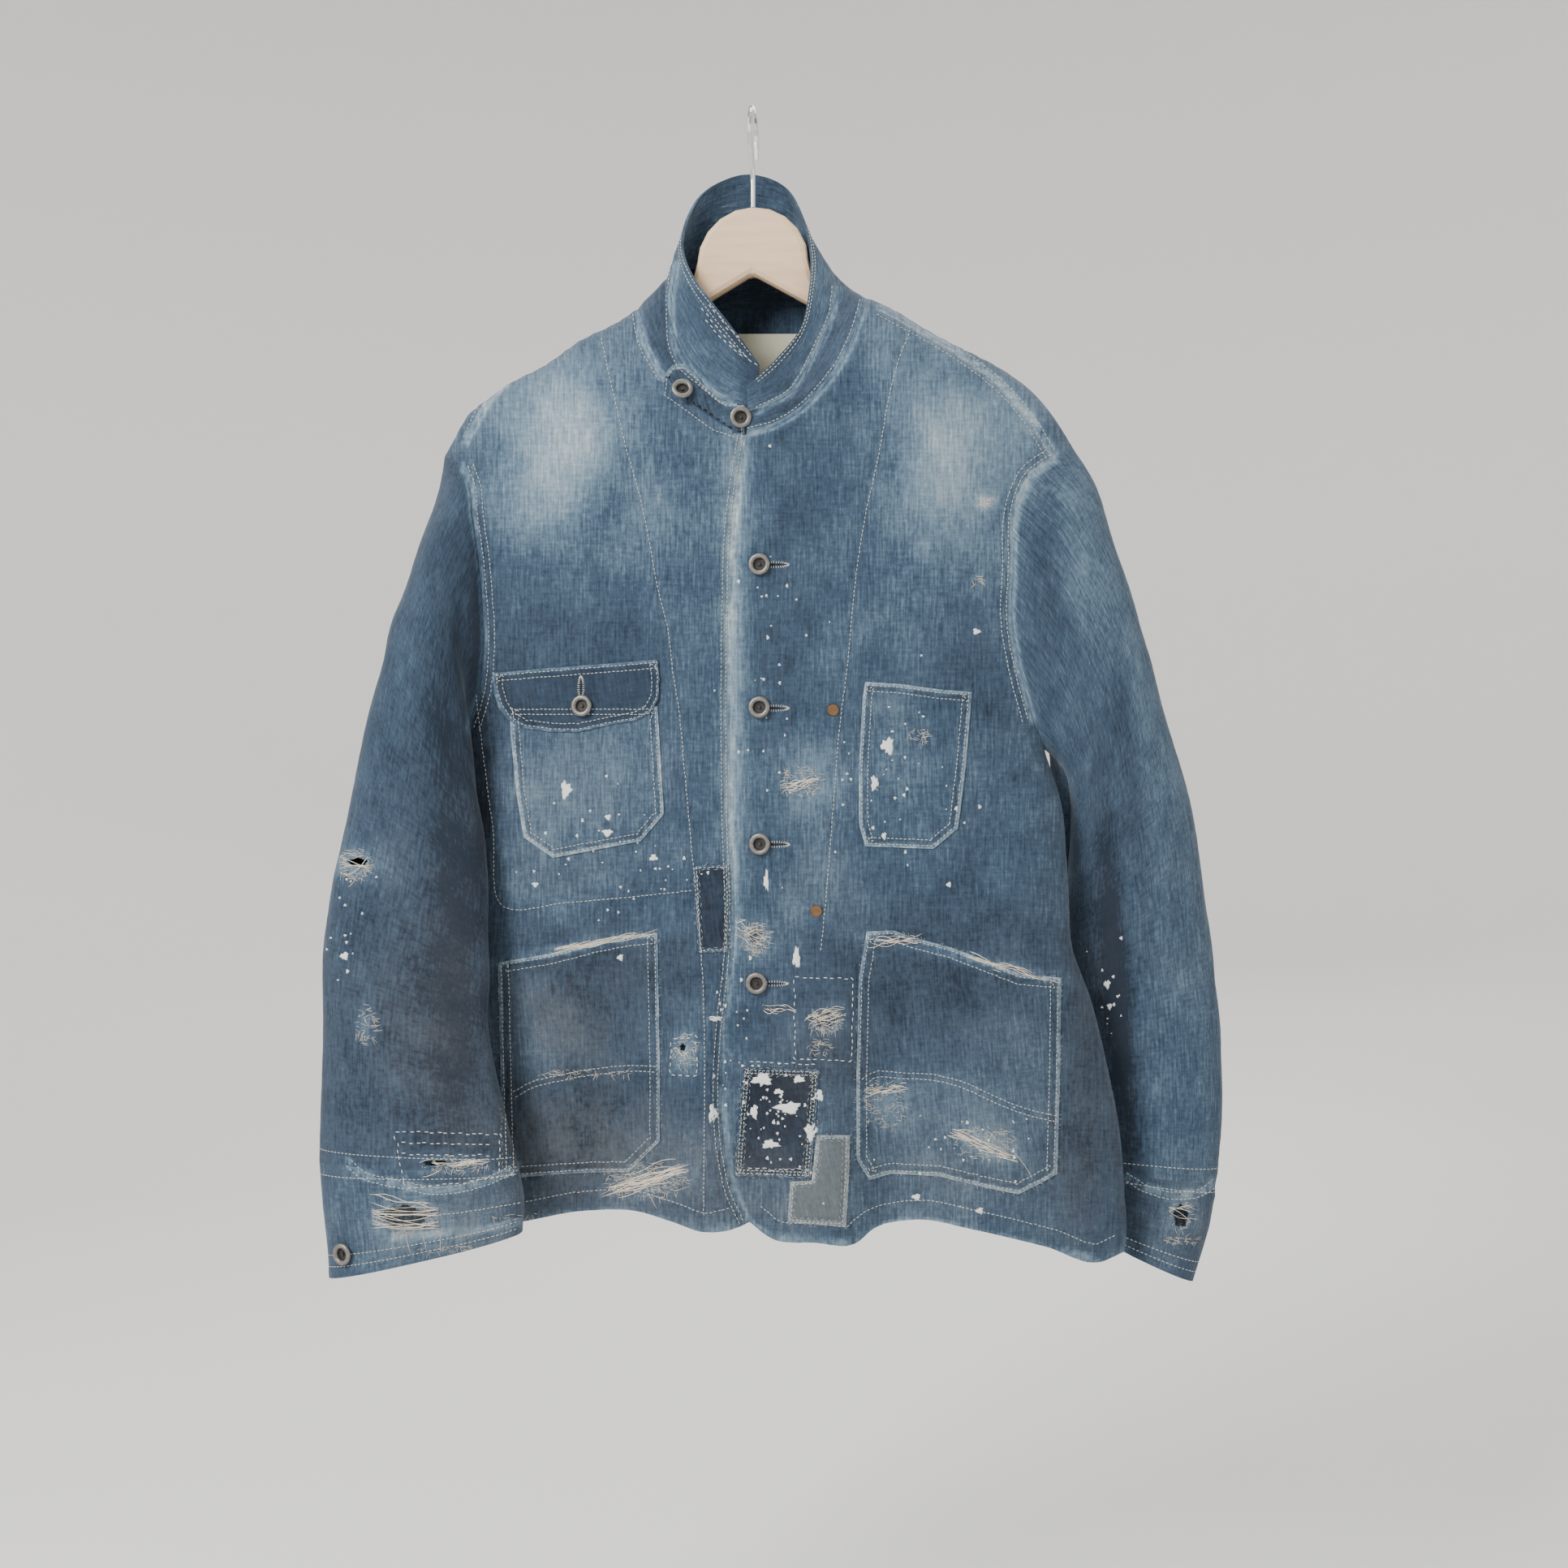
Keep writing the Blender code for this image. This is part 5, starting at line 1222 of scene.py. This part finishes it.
    sewing = Threads("stitches_front", "body_denim", ecru)
    rows = [(PLACKET, 5), (PLACKET, 11), (FACING_RIGHT, 0), (FACING_LEFT, 0), (NECK_RIGHT, 7),
            (NECK_LEFT, 7), (YOKE_LEFT, -4), (YOKE_LEFT, 4), (YOKE_LEFT, 10), (YOKE_RIGHT, 6),
            (ARMHOLE_RIGHT, -6), (ARMHOLE_RIGHT, -13), (ARMHOLE_LEFT, 6), (ARMHOLE_LEFT, 13),
            (LEAF_SEAM_RIGHT, 6), (LEAF_SEAM_LEFT, 6), (INNER_POCKET, 0),
            (MID_RIGHT, 0), (MID_RIGHT, 7), (MID_LEFT, 0), (MID_LEFT, 7),
            (HEM_LEFT, -24), (HEM_RIGHT, 24), (CUFF_RIGHT, -4), (CUFF_RIGHT, 5), (CUFF_LEFT, -4),
            (CUFF_LEFT, 5)]
    for line, shift in rows:
        smooth_line = rounded(line)
        sewing.stitches(everything, from_pixels(offset_line(smooth_line, shift)), 3.4)
    for outline, depths_in in ((FLAP_POCKET, (2.5, 6.5)), (CHEST_POCKET, (2.5, 7)), (RIGHT_HIP_POCKET, (2.5, 8)),
                               (LEFT_HIP_POCKET, (2.5, 8)), (FLAP, (2.2, 6.5)), (STRAP, (2.5,)),
                               (EDGE_PATCH, (2.2,)), (DARK_PATCH, (2.5, 5)), (CORNER_PATCH, (2.5,))):
        outline = np.array(outline, float)
        closed = np.vstack([outline, outline[:1]])
        fine = []
        for a, b in zip(closed[:-1], closed[1:]):
            fine += [a + (b - a) * k / 8 for k in range(8)]
        for depth in depths_in:
            ring = shrunk(np.array(fine), depth)
            sewing.stitches(everything, np.vstack([ring, ring[:1]]), 3.3)
    sewing.done()

    rest = Threads("stitches_sides", "sleeve_denim", ecru)
    for side in ("left", "right"):
        back, sleeve = panels["back_" + side], panels[f"sleeve_{side}_back"]
        rows = [(back, slice(2, ARMHOLE_ROWS), -3), (back, slice(2, ARMHOLE_ROWS), -5),
                (back, slice(3, -6), 1 if side == "left" else 2), (back, -7, slice(2, -2)),
                (back, -4, slice(2, -2)), (sleeve, slice(6, -2), 3), (sleeve, slice(6, -2), 5),
                (sleeve, slice(6, -2), 7)]
        for half in ("front", "back"):
            cuff, arm = panels[f"cuff_{side}_{half}"], panels[f"sleeve_{side}_{half}"]
            rows += [(cuff, row, slice(3, -3)) for row in (2, -3, -5)] + [(arm, -3, slice(3, -3))]
        for panel, row, column in rows:
            rest.seam(panel.outer[row, column], panel.normals[row, column])
    leaf = panels["collar_leaf"]
    for row in (-2, -4):
        rest.seam(leaf.outer[row, 2:-2], leaf.normals[row, 2:-2])
    rest.done()

    mends = Threads("mending_stitches", "patch_denim", white)
    zigzag = Threads("zigzag_stitches", "patch_denim", faded)
    for line in RUNNING:
        mends.stitches(everything, from_pixels(line), 5.4, 0.55, 0.32, wander=0.4)
    for outline, depth in ((DARK_PATCH, 7.5), (CORNER_PATCH, 5.5), (EDGE_PATCH, 4.5)):
        closed = np.array(outline + outline[:1], float)
        at = spaced(closed, 2.6)
        inner_ring = shrunk(at, depth)
        zig = [at[k] * 0.92 + inner_ring[k] * 0.08 if k % 2 else inner_ring[k] for k in range(len(at))]
        zigzag.stitches(everything, zig, 3.8, 0.8, 0.18, wander=0.2)
    mends.done()
    zigzag.done()

    loose = Threads("frayed_threads", "patch_denim", cream)
    for cx, cy, rx, ry, count in WORN:
        centre = from_pixels([(cx, cy)])[0]
        for _ in range(count):
            r, a = math.sqrt(RANDOM.uniform(0.05, 1.0)), RANDOM.uniform(0, 2 * math.pi)
            spot = centre + np.array([rx * r * math.cos(a), ry * r * math.sin(a)]) * PIXEL_MM
            flat_way = RANDOM.random() < 0.6
            heading = (1, RANDOM.normal(0, 0.25)) if flat_way else (RANDOM.normal(0, 0.6), -1)
            loose.fray(everything, spot, heading, RANDOM.uniform(2.0, 6.5), RANDOM.uniform(0.09, 0.17), 0.35)
    for cx, cy, half, count, spread in BRIDGES:
        for _ in range(count):
            y = cy + RANDOM.uniform(-1, 1) * spread
            sag, tilt = RANDOM.uniform(-3, 9), RANDOM.normal(0, 4)
            strand = []
            for u in np.linspace(-1.15, 1.15, 12):
                x = cx + u * half
                spot = from_pixels([(x, y + tilt * u + sag * (1 - u * u))])[0]
                strand.append(placed(*spot, bridge_depth(everything, cx, cy, half)))
            loose.tube(strand, RANDOM.uniform(0.14, 0.26) * MM, None, 0.9, 5)
    for cx, cy, half, slope, count, spread in BUNDLES:
        for _ in range(count):
            shift, wave, phase = RANDOM.normal(0, spread / 2), RANDOM.uniform(1, 4), RANDOM.uniform(0, 6)
            begin, stop = sorted(RANDOM.uniform(-1.1, 1.1, 2))
            strand = []
            for u in np.linspace(begin, stop, 9):
                x, y = cx + u * half, cy + slope * u * half + shift + wave * math.sin(5 * u + phase)
                found = everything.seen(*from_pixels([(x, y)])[0])
                if found is not None:
                    strand.append(found[0] + found[1] * ((0.25 + 0.5 * (1 - u * u) * RANDOM.random()) * MM))
            if len(strand) == 9 and max((q - p).length for p, q in zip(strand, strand[1:])) < 0.015:
                loose.tube(strand, RANDOM.uniform(0.16, 0.34) * MM, None, 0.8, 5)
    for outline in (DARK_PATCH, EDGE_PATCH, CORNER_PATCH, RIGHT_HIP_POCKET, LEFT_HIP_POCKET):
        closed = np.array(outline + outline[:1], float)
        for spot in spaced(closed, 1.5):
            if RANDOM.random() < 0.3:
                way = spot - closed.mean(0) + RANDOM.normal(0, 20, 2)
                loose.fray(everything, spot, way, RANDOM.uniform(1.0, 2.6), 0.10, 1.2)
    for x, y, way, length in ((520, 1515, (0.1, -1), 34), (545, 1512, (-0.2, -1), 24), (500, 1516, (0.3, -1), 20),
                              (1250, 1420, (0.7, -0.6), 26), (800, 1470, (0.2, -1), 14), (440, 1078, (0.1, -1), 12)):
        loose.fray(everything, from_pixels([(x, y)])[0], way, length, 0.2, 0.5)
    loose.done()

    holes = []
    for (x0, y0), (x1, y1) in BUTTONHOLES:
        holes.append(((x0 + x1) / 2, (y0 + y1) / 2, abs(x1 - x0) * 0.62 + 1.5, abs(y1 - y0) * 0.62 + 1.5))
    # Dark blots where the buttonholes open, the cloth itself uncut: painted shade.
    blots("buttonhole_slit_shade", everything, holes, dark, 0.25)
    bars = Threads("buttonhole_edges", "body_denim", ecru)
    for cx, cy, rx, ry in holes:
        centre = from_pixels([(cx, cy)])[0]
        for a in np.linspace(0, 2 * math.pi, 34, endpoint=False):
            out = np.array([math.cos(a), math.sin(a)])
            spot = centre + out * np.array([rx + 1.0, ry + 1.0]) * PIXEL_MM
            bars.stitches(everything, [spot - out * 1.1, spot + out * 1.1], 2.1, 0.95, 0.3, wander=0.05)
    bars.done()

    flecks = list(PAINT)
    for cx, cy, sx, sy, count in ((960, 1370, 45, 60, 60), (760, 1060, 120, 90, 40), (1100, 950, 90, 100, 36),
                                  (900, 1250, 30, 120, 26), (1180, 1430, 100, 70, 26), (430, 1150, 40, 90, 16),
                                  (1370, 1220, 40, 60, 14), (950, 900, 60, 260, 30)):
        for _ in range(count):
            size = RANDOM.uniform(0.9, 2.6)
            flecks.append((cx + RANDOM.normal(0, sx / 2), cy + RANDOM.normal(0, sy / 2), size,
                           size * RANDOM.uniform(0.7, 1.5)))
    blots("paint_drops", everything, flecks, plain("old_paint", (0.66, 0.67, 0.65), 0.7, spread=0.12))

    pewter = plain("worn_pewter", (0.20, 0.19, 0.175), 0.46, 0.85, 0.55, (420, 420, 420))
    # Near-black centre faces of the buttons: painted shade in their hole.
    well_shade = plain("button_well_painted_shade", (0.035, 0.033, 0.030), 0.6, 0.4)
    copper = plain("worn_copper", (0.20, 0.115, 0.06), 0.42, 0.9, 0.4, (260, 260, 260))
    r, h = BUTTON_RADIUS, BUTTON_HEIGHT
    face = lathe([(0, 0), (0.5 * r, 0), (0.5 * r, 0.35 * h), (0.94 * r, 0.40 * h), (r, 0.52 * h), (0.99 * r, 0.74 * h),
                  (0.92 * r, 0.92 * h), (0.80 * r, h), (0.68 * r, 0.98 * h), (0.60 * r, 0.86 * h),
                  (0.53 * r, 0.60 * h), (0.47 * r, 0.22 * h), (0.17 * r, 0.20 * h), (0.14 * r, 0.55 * h),
                  (0, 0.60 * h)], 40)
    q = RIVET_RADIUS
    dome = lathe([(0, 0), (q, 0), (q, 0.5 * MM), (0.93 * q, 0.95 * MM), (0.7 * q, 1.05 * MM), (0.55 * q, 0.9 * MM),
                  (0.35 * q, 1.25 * MM), (0, 1.4 * MM)], 28)
    spots = [(f"button_front_{k + 1}", whole["front_left"].seen(*p), SEAM_GAP) for k, p in enumerate(FRONT_BUTTONS)]
    on_strap, on_flap = Sight([laid["neck_strap"]]), Sight([laid["flap_chest"]])
    spots += [(f"button_strap_{k + 1}", on_strap.seen(*p), SEAM_GAP) for k, p in enumerate(STRAP_BUTTONS)]
    spots.append(("button_flap", on_flap.seen(*FLAP_BUTTON), SEAM_GAP))
    spots.append(("button_cuff_right", whole["cuff_right_front"].seen(*RIGHT_CUFF_BUTTON), SEAM_GAP))
    aim, eye = Vector(placed(*LEFT_CUFF_BUTTON, 400.0)), Vector(EYE)
    spots.append(("button_cuff_left", whole["cuff_left_back"].hit(aim, (eye - aim).normalized()), SEAM_GAP))
    for node, found, gap in spots:
        seat(node + "_fine", face, found, gap, node, pewter, well_shade)
    for k, place in enumerate(RIVETS):
        seat(f"rivet_{k + 1}_fine", dome, whole["front_left"].seen(*place), SEAM_GAP, f"rivet_{k + 1}", copper)

    maple = plain("maple_wood", (0.66, 0.47, 0.30), 0.42, spread=0.22, scale=(14, 60, 150))
    chrome = plain("bright_wire", (0.62, 0.63, 0.64), 0.2, 1.0, 0.1)
    for node, finish in (("hanger_wood", maple), ("hanger_hook", chrome)):
        thing = bpy.data.objects[node]
        for held in thing.material_slots:
            held.link = "OBJECT"
            held.material = finish

    studio()


def studio():
    """Pale seamless bowl, soft lights and the viewer's eye."""
    profile = [(0.0, -1.36), (1.0, -1.36), (2.4, -1.36)]
    profile += [(2.4 + 1.6 * math.sin(a), 0.24 - 1.6 * math.cos(a)) for a in np.radians([20, 40, 60, 80, 90])]
    profile += [(4.0, 1.5), (4.0, 3.2)]
    verts, faces = lathe(profile, 64)
    bowl = finish_mesh("studio_bowl", np.array(verts, float), faces, smooth=0)
    bowl.data.materials.append(plain("studio_white", (0.82, 0.81, 0.79), 0.95, spread=0.0))
    for name, place, size, power in (("key", (-1.9, -2.0, 1.1), 1.1, 122), ("fill", (2.1, -2.0, 0.1), 2.0, 17),
                                     ("top", (0.0, 0.1, 1.9), 1.6, 26), ("back", (0.6, 2.6, 0.6), 2.0, 34)):
        light = bpy.data.lights.new(name, "AREA")
        light.energy = power
        light.size = size
        thing = bpy.data.objects.new(name, light)
        bpy.context.collection.objects.link(thing)
        thing.location = place
        aim = Vector((0.0, 0.0, -0.5)) - Vector(place)
        thing.rotation_euler = aim.to_track_quat("-Z", "Y").to_euler()
    world = bpy.data.worlds.new("pale")
    bpy.context.scene.world = world
    world.use_nodes = True
    world.node_tree.nodes["Background"].inputs["Color"].default_value = (0.93, 0.94, 0.95, 1)
    world.node_tree.nodes["Background"].inputs["Strength"].default_value = 0.62
    lens = bpy.data.cameras.new("view")
    lens.lens = 40
    lens.sensor_width = 36
    camera = bpy.data.objects.new("view", lens)
    bpy.context.collection.objects.link(camera)
    camera.location = EYE
    camera.rotation_euler = (math.radians(90), 0, 0)
    bpy.context.scene.camera = camera


main()
